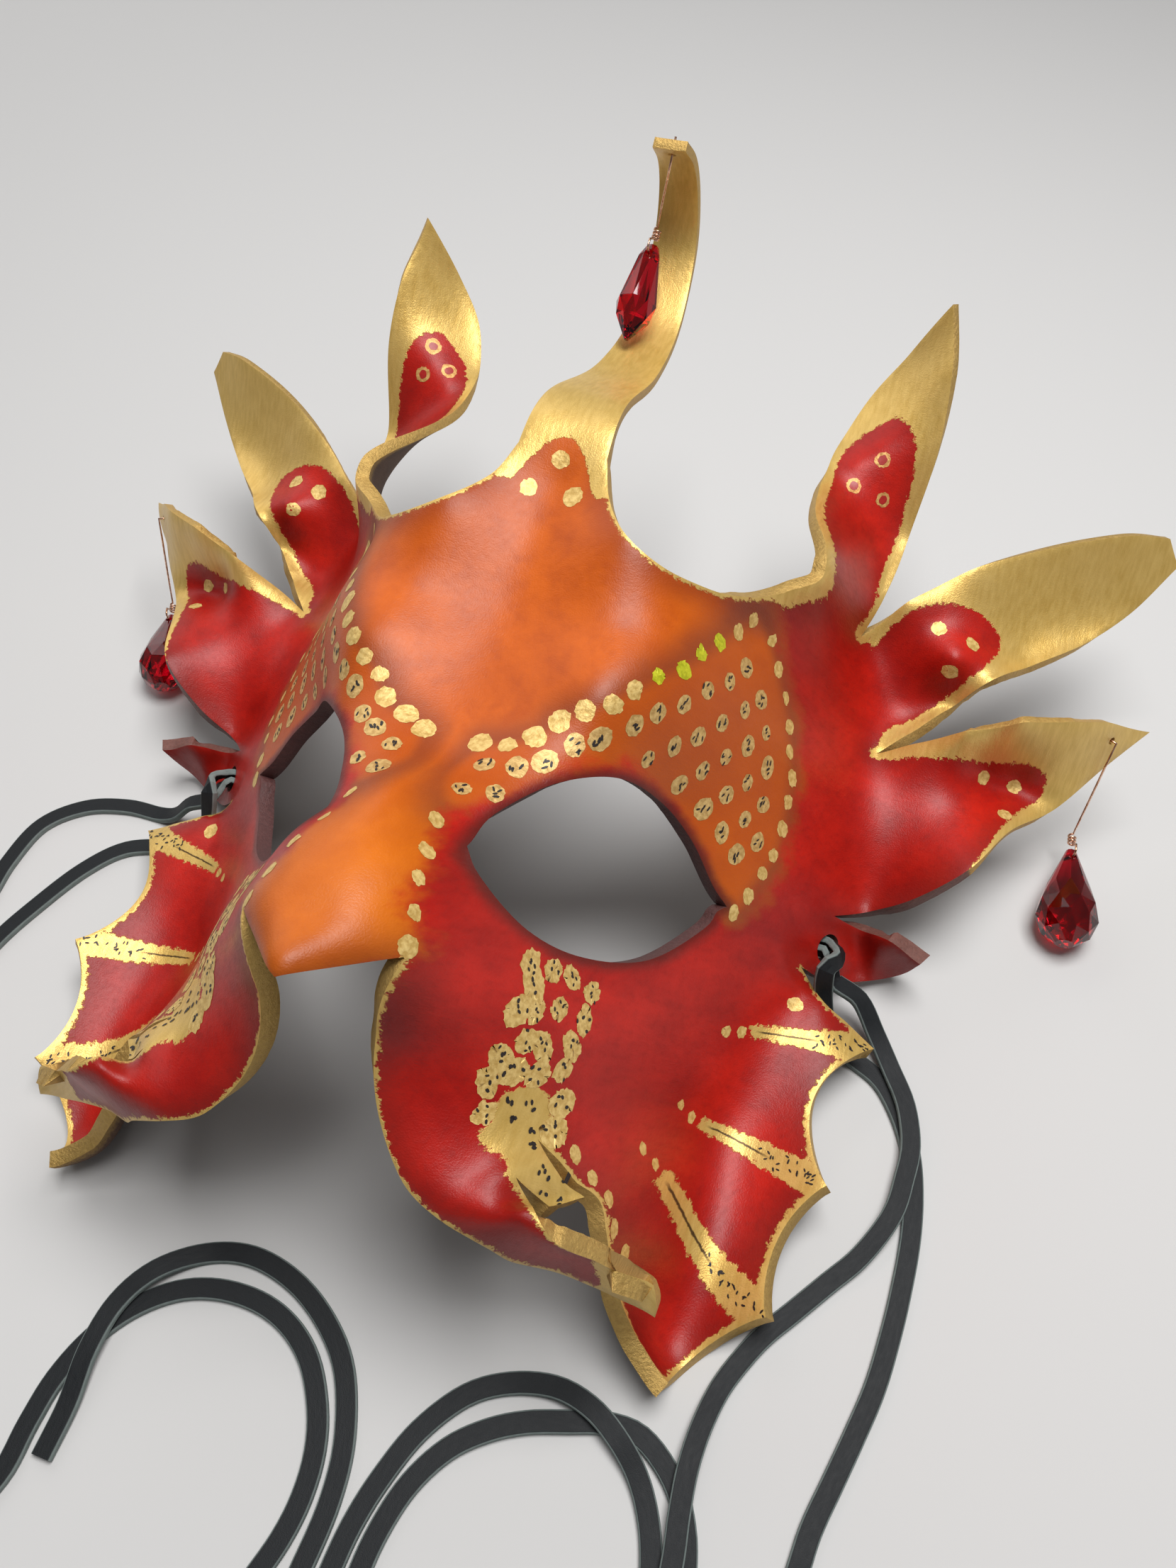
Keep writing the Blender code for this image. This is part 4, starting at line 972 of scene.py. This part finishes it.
hide_mesh = plain_mesh(hide)
hide.modifiers.clear()
hide.data = hide_mesh
for vert in hide_mesh.vertices:
    vert.co.z = max(vert.co.z, rest_height * METRE)
print("the hide has", sum(len(face.vertices) - 2 for face in hide_mesh.polygons), "triangles")
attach(hide, "root")
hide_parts("mask")

# %% [markdown]
# ## Marks laid on the hide
#
# Dots, scales, flakes and their dark strokes were dabbed on one by one with a small brush. They repeat
# by the hundred, so Geometry Nodes place them: a tree takes loose points, lays a ragged little film of
# paint at each, and presses every corner of the film onto the hide. It has named inputs for its sizes
# and a seed, so one tree serves all the sets. A film lies a twentieth of a millimetre above the hide, and
# the ink on it as far again above the film.


# %% The tree that dabs paint
def dab_tree():
    """Films of paint at the incoming points, pressed onto the sheet of hide."""
    tree = bpy.data.node_groups.new("dabs of paint", "GeometryNodeTree")
    tree.interface.new_socket("Geometry", in_out="OUTPUT", socket_type="NodeSocketGeometry")
    wanted = {"Geometry": "Geometry", "Sheet": "Object", "Copies": "Int", "Scatter": "Float",
              "Length": "Float", "Breadth": "Float", "Corners": "Int", "Ragged": "Float", "Lift": "Float",
              "Spin": "Float", "Seed": "Int", "Paint": "Material"}
    for name, kind in wanted.items():
        tree.interface.new_socket(name, in_out="INPUT", socket_type="NodeSocket" + kind)
    entry = tree.nodes.new("NodeGroupInput")
    given = {name: Flow(tree, entry.outputs[name]) for name in wanted}

    def node(kind, settings=None, sockets=None, output=0):
        return add_node(tree, kind, settings, sockets, output)

    def stored(name, kind):
        return node("GeometryNodeInputNamedAttribute", {"data_type": kind}, {"Name": name})

    size = stored("size", "FLOAT")
    copies = node("GeometryNodeDuplicateElements", {"domain": "POINT"},
                  {"Geometry": given["Geometry"], "Amount": given["Copies"]})
    throw = node("FunctionNodeRandomValue", {"data_type": "FLOAT_VECTOR"},
                 {0: (-1.0, -1.0, -1.0), 1: (1.0, 1.0, 1.0), "Seed": given["Seed"]})
    reach = node("ShaderNodeVectorMath", {"operation": "SCALE"}, {0: throw, "Scale": size * given["Scatter"]})
    thrown = node("GeometryNodeSetPosition", None, {"Geometry": copies, "Offset": reach})
    disc = node("GeometryNodeMeshCircle", {"fill_type": "TRIANGLE_FAN"},
                {"Vertices": given["Corners"], "Radius": 1.0}, "Mesh")
    disc = node("GeometryNodeSubdivideMesh", None, {"Mesh": disc, "Level": 1})
    upright = node("FunctionNodeAlignRotationToVector", {"axis": "Z"},
                   {"Vector": stored("normal", "FLOAT_VECTOR")})
    turned = node("FunctionNodeAlignRotationToVector", {"axis": "X", "pivot_axis": "Z"},
                  {"Rotation": upright, "Vector": stored("along", "FLOAT_VECTOR")})
    swing = node("FunctionNodeRandomValue", {"data_type": "FLOAT"},
                 {2: given["Spin"] * -1.0, 3: given["Spin"], "Seed": given["Seed"] + 1}, 1)
    twist = node("FunctionNodeAxisAngleToRotation", None, {"Axis": (0.0, 0.0, 1.0), "Angle": swing})
    turned = node("FunctionNodeRotateRotation", {"rotation_space": "LOCAL"},
                  {"Rotation": turned, "Rotate By": twist})
    grow = node("FunctionNodeRandomValue", {"data_type": "FLOAT"},
                {2: 0.85, 3: 1.12, "Seed": given["Seed"] + 2}, 1) * size
    scale = node("ShaderNodeCombineXYZ", None,
                 {"X": given["Length"] * grow, "Y": given["Breadth"] * grow, "Z": 1.0})
    placed = node("GeometryNodeInstanceOnPoints", None,
                  {"Points": thrown, "Instance": disc, "Rotation": turned, "Scale": scale})
    real = node("GeometryNodeRealizeInstances", None, {"Geometry": placed})
    here = node("GeometryNodeInputPosition")
    waves = node("ShaderNodeTexNoise", None, {"Vector": here, "Scale": 1100.0, "Detail": 2.0}, "Color")
    waver = node("ShaderNodeVectorMath", {"operation": "SCALE"},
                 {0: waves - (0.5, 0.5, 0.5), "Scale": given["Ragged"]})
    ragged = node("GeometryNodeSetPosition", None, {"Geometry": real, "Offset": waver})
    sheet = node("GeometryNodeObjectInfo", {"transform_space": "RELATIVE"}, {"Object": given["Sheet"]},
                 "Geometry")
    nearest = node("GeometryNodeProximity", {"target_element": "FACES"}, {0: sheet}, "Position")
    outwards = node("GeometryNodeSampleNearestSurface", {"data_type": "FLOAT_VECTOR"},
                    {"Mesh": sheet, "Value": node("GeometryNodeInputNormal")})
    raised = node("ShaderNodeVectorMath", {"operation": "SCALE"}, {0: outwards, "Scale": given["Lift"]})
    pressed = node("GeometryNodeSetPosition", None, {"Geometry": ragged, "Position": nearest + raised})
    smooth = node("GeometryNodeSetShadeSmooth", None, {"Geometry": pressed})
    painted = node("GeometryNodeSetMaterial", None, {"Geometry": smooth, "Material": given["Paint"]})
    leave = tree.nodes.new("NodeGroupOutput")
    tree.links.new(painted.socket, leave.inputs["Geometry"])
    return tree


dabs = dab_tree()
print("the dab tree has", len(dabs.nodes), "nodes")


# %% Points on both halves, and the dabs at them
def marked_points(marks):
    """Loose points on the hide for marks given as (x, y, size, way x, way y): x below 0 is the left."""
    marks = np.array(marks, float)
    halves = np.column_stack([np.abs(marks[:, 0]), marks[:, 1]])
    sides = np.where(marks[:, 0] < 0, -1.0, 1.0)
    centres, along, up, normals = former.frame_at(halves)
    ways = along * marks[:, 3:4] + up * marks[:, 4:5]
    flip = np.column_stack([sides, np.ones(len(marks)), np.ones(len(marks))])
    mesh = bpy.data.meshes.new("marks")
    mesh.from_pydata(on_table(centres * flip).tolist(), [], [])
    for name, vectors in (("normal", leant(normals * flip)), ("along", leant(ways * flip))):
        mesh.attributes.new(name, "FLOAT_VECTOR", "POINT").data.foreach_set("vector", vectors.ravel())
    mesh.attributes.new("size", "FLOAT", "POINT").data.foreach_set("value", marks[:, 2].copy())
    return mesh


def dab(name, marks, paint, **sizes):
    """A set of dabs as a plain mesh that rides with the mask. Lengths are in millimetres."""
    points = bpy.data.objects.new(name + "_points", marked_points(marks))
    bpy.context.scene.collection.objects.link(points)
    modifier = points.modifiers.new("dabs", "NODES")
    modifier.node_group = dabs
    values = {"Sheet": grain_sheet, "Paint": paint, "Copies": 1, "Scatter": 0.0, "Corners": 12, "Spin": 3.1,
              **sizes}
    for item in dabs.interface.items_tree:
        if item.item_type == "SOCKET" and item.in_out == "INPUT" and item.name in values:
            value = values[item.name]
            modifier[item.identifier] = value * METRE if item.name in millimetres else value
    piece = bpy.data.objects.new(name, plain_mesh(points))
    bpy.context.scene.collection.objects.link(piece)
    bpy.data.objects.remove(points, do_unlink=True)
    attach(piece, "root")
    print(name, len(marks), "marks,", len(piece.data.polygons), "faces")
    return piece


millimetres = {"Scatter", "Length", "Breadth", "Ragged", "Lift"}
film_lift, ink_lift = 0.05, 0.10


# %% [markdown]
# ## Gold and ink for the marks
#
# The dabs are thicker than the washes, so their gold is brighter and their surface lumpier. The strokes
# in the scales were drawn with a fine black pen, and four dots on one brow were tinted lime.


# %% Finishes of the marks
def gold_dab(name, dark, bright):
    finish = Finish(name)
    grit = finish.noise(finish.object_places(), 1.1, detail=4.0)
    finish.feed(base_color=grit.step(0.3, 0.7).mix(dark, bright), metallic=0.35, roughness=grit * 0.25 + 0.35)
    finish.bump(grit, 0.15)
    return finish.material


def plain_ink(name, colour, roughness):
    finish = Finish(name)
    blot = finish.noise(finish.object_places(), 2.0)
    finish.feed(base_color=blot.mix(colour, tuple(1.8 * c for c in colour)), roughness=roughness)
    return finish.material


dab_gold = gold_dab("gold dabs", (0.58, 0.36, 0.095), (0.84, 0.60, 0.22))
ring_gold = gold_dab("thin ring gold", (0.50, 0.22, 0.060), (0.70, 0.42, 0.14))
scale_gold = gold_dab("gold scales", (0.48, 0.28, 0.085), (0.74, 0.50, 0.19))
dab_lime = gold_dab("lime dabs", (0.46, 0.46, 0.01), (0.72, 0.70, 0.03))
pen_black = plain_ink("pen black", (0.012, 0.008, 0.007), 0.5)
dye_red = plain_ink("dye red", (0.26, 0.010, 0.008), 0.4)


# %% [markdown]
# ## Rows of dots
#
# Most dots stand in rows: along the crest over the eyes, round the fan of scales, down the sides of the
# nose and along the cheek. A row is a curve on the pattern and a spacing, with a little unevenness from
# a fixed seed, because a hand never keeps perfect time.


# %% Rows and single dots
def row(line, spacing, size, uneven, seed, sides=(1, -1)):
    """Marks at a spacing along a curve on the pattern, on the sides that are named."""
    marks = []
    for side in sides:
        chance = np.random.default_rng(seed + side)
        fine = smooth_curve(line, 0.5)
        lengths = np.concatenate([[0.0], np.cumsum(np.linalg.norm(np.diff(fine, axis=0), axis=1))])
        for reach in np.arange(0.0, lengths[-1] + 0.3 * spacing, spacing):
            x, y = (np.interp(reach, lengths, fine[:, k]) + chance.normal(0, uneven) for k in (0, 1))
            way = [np.interp(reach + 1, lengths, fine[:, k]) - np.interp(reach - 1, lengths, fine[:, k])
                   for k in (0, 1)]
            marks.append((side * x, y, size * chance.uniform(0.88, 1.1), way[0] + 1e-3, way[1]))
    return marks


def single(places, size, sides=(1, -1)):
    return [(side * x, y, size, 1.0, 0.0) for side in sides for x, y in places]


nose_line = [(8, -24.8), (9.5, -31), (11, -36.2), (12, -41), (13.2, -45.4)]
chain_line = [(40.8, -70.4), (44, -73.8), (46.5, -77), (49.3, -80.3), (52.1, -84.1)]
lime_from, lime_low, lime_high = 29, 9, 26
crest = row(crest_line, 4.9, 1.0, 0.25, 3)
on_lime = [mark for mark in crest if mark[0] > lime_from and lime_low < mark[1] < lime_high]
crest = [mark for mark in crest if mark not in on_lime]
plain_dots = crest + row(border_line, 5.4, 0.84, 0.3, 5) + row(nose_line, 5.3, 0.82, 0.2, 7)
plain_dots += row(chain_line, 4.5, 0.88, 0.3, 9)
plain_dots += single([(0.0, 50.5)], 1.05, (1,)) + single([(4.6, 43.7)], 1.05)
plain_dots += single([(78.2, 54.3), (86.1, 52.7), (82.8, 45.2)], 1.0, (1,))
plain_dots += single([(85.5, 56), (77.5, 54.1), (82, 47.6)], 1.0, (-1,))
plain_dots += single([(95.5, 24.3), (102.6, 24.7), (101.4, 16.8)], 0.9, (1,))
plain_dots += single([(101.7, 25.2), (94.6, 24.8), (100.7, 18.2)], 0.9, (-1,))
plain_dots += single([(57.2, -44.6), (60.0, -43.9), (53.0, -60.6), (55.2, -62.4), (49.4, -69),
                      (51.9, -71.6)], 0.6)
plain_dots += single([(68.8, -35.5)], 0.95)
ring_dots = single([(56.6, 88.3), (50.6, 81.1), (58.4, 80.6)], 0.95, (1,))
ring_dots += single([(57.2, 94.8), (58, 87.6), (52, 90.0)], 0.95, (-1,))
dab("plain_dots", plain_dots, dab_gold, Length=2.1, Breadth=1.9, Ragged=1.3, Lift=film_lift, Seed=11)
dab("ring_dots", ring_dots, ring_gold, Length=2.1, Breadth=2.0, Ragged=1.0, Lift=film_lift, Seed=14)
dab("ring_hearts", ring_dots, dye_red, Length=1.1, Breadth=1.0, Ragged=0.7, Lift=ink_lift, Seed=12)
dab("lime_dots", on_lime, dab_lime, Length=2.0, Breadth=1.8, Ragged=2.0, Lift=film_lift, Seed=13)

# %% [markdown]
# ## The fan of scales
#
# Between the crest and the temple lie rows of gold scales, each scale with a few pen strokes. The rows
# run side by side with the crest, every second one shifted by half a step, as fish scales are. So each
# row is the crest's own curve moved sideways, and only the places inside the fan are kept.


# %% Rows of scales
scale_step, scale_row_gap = 5.3, 5.0
crest_margin, border_margin, eye_margin, fan_margin = 3.4, 3.6, 1.9, 0.4
scale_clearance = 3.6


def fan_places():
    """The scales' places on the half pattern."""
    fine = smooth_curve([(-1, -11)] + crest_line + [(45, 44)], 0.5)
    ways = np.gradient(fine, axis=0)
    ways /= np.linalg.norm(ways, axis=1)[:, None]
    kept = []
    for k in range(1, 10):
        moved = fine + np.column_stack([ways[:, 1], -ways[:, 0]]) * scale_row_gap * k
        lengths = np.concatenate([[0.0], np.cumsum(np.linalg.norm(np.diff(moved, axis=0), axis=1))])
        reaches = np.arange(0.5 * scale_step * (k % 2), lengths[-1], scale_step)
        spots = np.column_stack([np.interp(reaches, lengths, moved[:, axis]) for axis in (0, 1)])
        kept.append(spots)
    spots = np.vstack(kept)
    eye_line = smooth_curve([mark[:2] for mark in eye_inner_edge], 1.0)
    fit = depth_in(spots, fan_zone) > fan_margin
    fit &= gap_to_line(spots, smooth_curve(crest_line, 1.0)) > crest_margin
    fit &= gap_to_line(spots, smooth_curve(border_line, 1.0)) > border_margin
    fit &= gap_to_line(spots, eye_line) > eye_margin
    spots = spots[fit]
    apart = [k for k, spot in enumerate(spots)
             if all(np.linalg.norm(spot - other) > scale_clearance for other in spots[:k])]
    return spots[apart]


chance = np.random.default_rng(21)
scales = [(side * (x + chance.normal(0, 0.25)), y + chance.normal(0, 0.25), chance.uniform(0.85, 1.12),
           0.3, 1.0) for side in (1, -1) for x, y in fan_places()]
dab("gold_scales", scales, scale_gold, Length=2.25, Breadth=1.85, Ragged=0.9, Lift=film_lift, Spin=0.6,
    Seed=22)
dab("scale_strokes", scales, pen_black, Copies=4, Scatter=1.15, Length=0.62, Breadth=0.24, Corners=6,
    Ragged=0.25, Lift=ink_lift, Spin=0.7, Seed=23)

# %% [markdown]
# ## Flakes on the cheek
#
# On each cheek a trail of ragged flakes runs from the eye down to the cut tongue, whose root is one big
# flake. They have torn outlines and black pips. The rib tips and the tongue carry the same pips.

# %% Flakes and pips
flake_places = [(25.8, -42.3), (27.2, -45.4), (28.8, -42.6), (31.4, -42.9), (34.7, -44.5), (26.7, -50.4),
                (28.8, -49.8), (31.5, -48.5), (35.2, -49.4), (29.0, -54.6), (31.3, -55.1), (34.8, -53.8),
                (26.4, -58.1), (31.7, -59.4), (34.7, -57.8), (25.5, -62.2), (28.4, -59.8), (36.0, -63.0),
                (26.2, -67.0), (36.3, -67.9)]
flakes = [(side * x, y, chance.uniform(0.8, 1.15), 1.0, 0.3) for side in (1, -1) for x, y in flake_places]
dab("gold_flakes", flakes, dab_gold, Length=3.1, Breadth=2.3, Corners=22, Ragged=2.0, Lift=film_lift, Seed=31)
dab("flake_pips", flakes, pen_black, Copies=4, Scatter=1.5, Length=0.46, Breadth=0.30, Corners=6, Ragged=0.3,
    Lift=ink_lift, Seed=32)
rib_pips = []
for root, tip in ribs:
    for share in (0.54, 0.64, 0.74, 0.84, 0.93):
        x, y = (a + (b - a) * share for a, b in zip(root, tip))
        rib_pips += single([(x, y)], 1.0)
dab("rib_pips", rib_pips, pen_black, Copies=5, Scatter=1.6, Length=0.50, Breadth=0.20, Corners=6, Ragged=0.2,
    Lift=ink_lift, Seed=33)
tongue_places = [(29, -64.6), (31.8, -65.2), (33.6, -68), (30, -67.6), (34.6, -71), (36.2, -74),
                 (37.4, -77.6), (39.6, -76.6), (38.6, -80)]
dab("tongue_pips", single(tongue_places, 1.0), pen_black, Copies=3, Scatter=1.3, Length=0.55, Breadth=0.36,
    Corners=6, Ragged=0.3, Lift=ink_lift, Seed=34)

# %% [markdown]
# ## Wires
#
# Each drop hangs on thin copper wire: a loop through the glass, three wound turns for a neck, then one
# strand up through the hole in the hide. The path is worked out once, and a small tree turns any path
# into wire with Curve to Mesh, with its thickness as an input.

# %% Sizes of the drops and wires
drop_hole_depth = 2.4
wire_diameter, wire_loop_width, wire_loop_corner, wire_loop_shoulder = 0.5, 8.0, 0.5, 0.4
wire_end_share, wire_end_drop = 0.4, 0.8
neck_height, neck_clearance = 1.6, 0.2
neck_coil_radius, neck_coil_pitch, neck_coil_turns = 0.75, 0.85, 3
strand_arch_share, strand_arch_rise, strand_level_share, strand_depth_in_hole = 0.35, 0.3, 0.75, 0.3
wire_stand_off, wire_tail = 1.2, 1.5
turn_steps = 18
drop_lines = {"right_ear": ((120.0, 15.5, 7.8), (121.5, -8.5, 6.3)),
              "left_ear": ((-119.0, 17.0, 7.8), (-109.5, -5.0, 6.3)),
              "blade": ((-3.0, 82.0, 97.0), (-3.0, 64.0, 87.0))}
blade_hole = (0.0, blade_edge()[-1][0][1] - blade_hole_setback)
wire_holes = {"right_ear": (ear_hole_place, 1), "left_ear": (ear_hole_place, -1), "blade": (blade_hole, 1)}


def hung_from(top, bottom):
    """A matrix in millimetres whose origin is the drop's top and whose -Z axis points to its bottom."""
    turn = (Vector(top) - Vector(bottom)).to_track_quat("Z", "Y").to_matrix().to_4x4()
    return Matrix.Translation(Vector(top)) @ turn


def beside_hole(place, side, depth):
    """A place at a depth below the grain, beside the table spot."""
    centre, _, _, normal = (part[0] for part in former.frame_at([place]))
    return Vector(leant([to_side(centre - normal * depth, side)])[0]) + Vector((0, 0, lying_lift))


def wire_path(drop):
    """The wire's way from its end in the loop, round the neck and up behind the hide."""
    local = hung_from(*drop_lines[drop])
    half = wire_loop_width / 2
    turns = []
    for k in range(neck_coil_turns * turn_steps + 1):
        angle = math.pi / 2 + 2 * math.pi * k / turn_steps
        turns.append((neck_coil_radius * math.cos(angle), neck_coil_radius * math.sin(angle),
                      neck_height + neck_clearance + k * neck_coil_pitch / turn_steps))
    loop = [(0, -half * wire_end_share, neck_height - wire_end_drop), (0, -half, -wire_loop_shoulder),
            (0, -half, -drop_hole_depth + wire_loop_corner),
            (0, -half + wire_loop_corner, -drop_hole_depth), (0, half - wire_loop_corner, -drop_hole_depth),
            (0, half, -drop_hole_depth + wire_loop_corner), (0, half, -wire_loop_shoulder)]
    points = [local @ Vector(point) for point in loop + turns]
    place, side = wire_holes[drop]
    front = beside_hole(place, side, -wire_stand_off)
    start = points[-1]
    points += [start.lerp(front, strand_arch_share) + Vector((0, 0, strand_arch_rise)),
               start.lerp(front, strand_level_share), front,
               beside_hole(place, side, strand_depth_in_hole),
               beside_hole(place, side, pared_thickness + wire_tail)]
    return [(point + Vector((0, table_spot_y, 0))) * METRE for point in points]


# %% The tree that draws wire
def wire_tree():
    """A path turned into round wire."""
    tree = bpy.data.node_groups.new("drawn wire", "GeometryNodeTree")
    tree.interface.new_socket("Geometry", in_out="OUTPUT", socket_type="NodeSocketGeometry")
    wanted = {"Geometry": "Geometry", "Diameter": "Float", "Sides": "Int", "Metal": "Material"}
    for name, kind in wanted.items():
        tree.interface.new_socket(name, in_out="INPUT", socket_type="NodeSocket" + kind)
    entry = tree.nodes.new("NodeGroupInput")
    given = {socket.name: Flow(tree, socket) for socket in entry.outputs if socket.name}
    path = add_node(tree, "GeometryNodeMeshToCurve", None, {0: given["Geometry"]})
    ring = add_node(tree, "GeometryNodeCurvePrimitiveCircle", None,
                    {"Resolution": given["Sides"], "Radius": given["Diameter"] * 0.5})
    wire = add_node(tree, "GeometryNodeCurveToMesh", None,
                    {"Curve": path, "Profile Curve": ring, "Fill Caps": True})
    wire = add_node(tree, "GeometryNodeSetMaterial", None, {"Geometry": wire, "Material": given["Metal"]})
    leave = tree.nodes.new("NodeGroupOutput")
    tree.links.new(wire.socket, leave.inputs["Geometry"])
    return tree


# %% Copper, and the three wires
copper = Finish("copper wire")
tarnish = copper.noise(copper.object_places(), 0.8)
copper.feed(base_color=tarnish.step(0.3, 0.7).mix((0.55, 0.28, 0.16), (0.90, 0.60, 0.45)), metallic=1.0,
            roughness=tarnish * 0.2 + 0.16)
wires = wire_tree()
for drop in drop_lines:
    path = wire_path(drop)
    mesh = bpy.data.meshes.new(drop + "_path")
    mesh.from_pydata([tuple(point) for point in path], [(k, k + 1) for k in range(len(path) - 1)], [])
    line = bpy.data.objects.new(drop + "_path", mesh)
    bpy.context.scene.collection.objects.link(line)
    modifier = line.modifiers.new("wire", "NODES")
    modifier.node_group = wires
    values = {"Diameter": wire_diameter * METRE, "Sides": 12, "Metal": copper.material}
    for item in wires.interface.items_tree:
        if item.item_type == "SOCKET" and item.name in values:
            modifier[item.identifier] = values[item.name]
    wire = bpy.data.objects.new(drop + "_fine_wire", plain_mesh(line))
    bpy.data.objects.remove(line, do_unlink=True)
    bpy.context.scene.collection.objects.link(wire)
    wire.data.shade_smooth()
    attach(wire, "root")
    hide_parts(drop + "_wire")

# %% [markdown]
# ## Ruby glass
#
# The drops are pressed and cut glass, deep red all through. Their facets are already true in the solids,
# so the solids stay and only get a glass finish: clear, sharp and strongly tinted.

# %% Glass for the three drops
ruby = Finish("ruby glass")
ruby.feed(base_color=(0.40, 0.0, 0.006), roughness=0.02, transmission_weight=1.0, ior=1.54)
for node in ("right_ear_drop", "left_ear_drop", "blade_drop"):
    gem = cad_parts[node]
    gem.data.materials.clear()
    gem.data.materials.append(ruby.material)

# %% [markdown]
# ## Table and light
#
# A plain pale table and soft studio light show the paint fairly. The main lamp hangs nearly overhead, a
# little to the mask's right. A wider and weaker one stands far off on the left, beyond the horns. The
# plain tone curve is used, because the usual one would wash out the reds and oranges.

# %% Table, lamps and sky
bpy.data.objects.remove(grain_sheet, do_unlink=True)
bpy.context.scene.view_settings.view_transform = "Standard"
bpy.ops.mesh.primitive_plane_add(size=4.0)
table = bpy.context.object
table.name = "pale_table"
pale = Finish("pale table")
pale.feed(base_color=(0.60, 0.59, 0.58), roughness=0.85)
table.data.materials.append(pale.material)


def lamp(name, place, aim, width, power):
    data = bpy.data.lights.new(name, "AREA")
    data.size = width
    data.energy = power
    light = bpy.data.objects.new(name, data)
    light.location = place
    light.rotation_euler = (Vector(place) - Vector(aim)).to_track_quat("Z", "Y").to_euler()
    bpy.context.scene.collection.objects.link(light)


lamp("main_lamp", (0.14, 0.06, 0.76), (0.0, 0.0, 0.05), 0.40, 6.6)
lamp("fill_lamp", (-0.60, 0.45, 0.50), (0.0, 0.0, 0.05), 0.80, 2.2)
sky = bpy.data.worlds.new("pale studio")
sky.use_nodes = True
sky.node_tree.nodes["Background"].inputs["Color"].default_value = (0.85, 0.87, 0.9, 1.0)
sky.node_tree.nodes["Background"].inputs["Strength"].default_value = 0.16
bpy.context.scene.world = sky
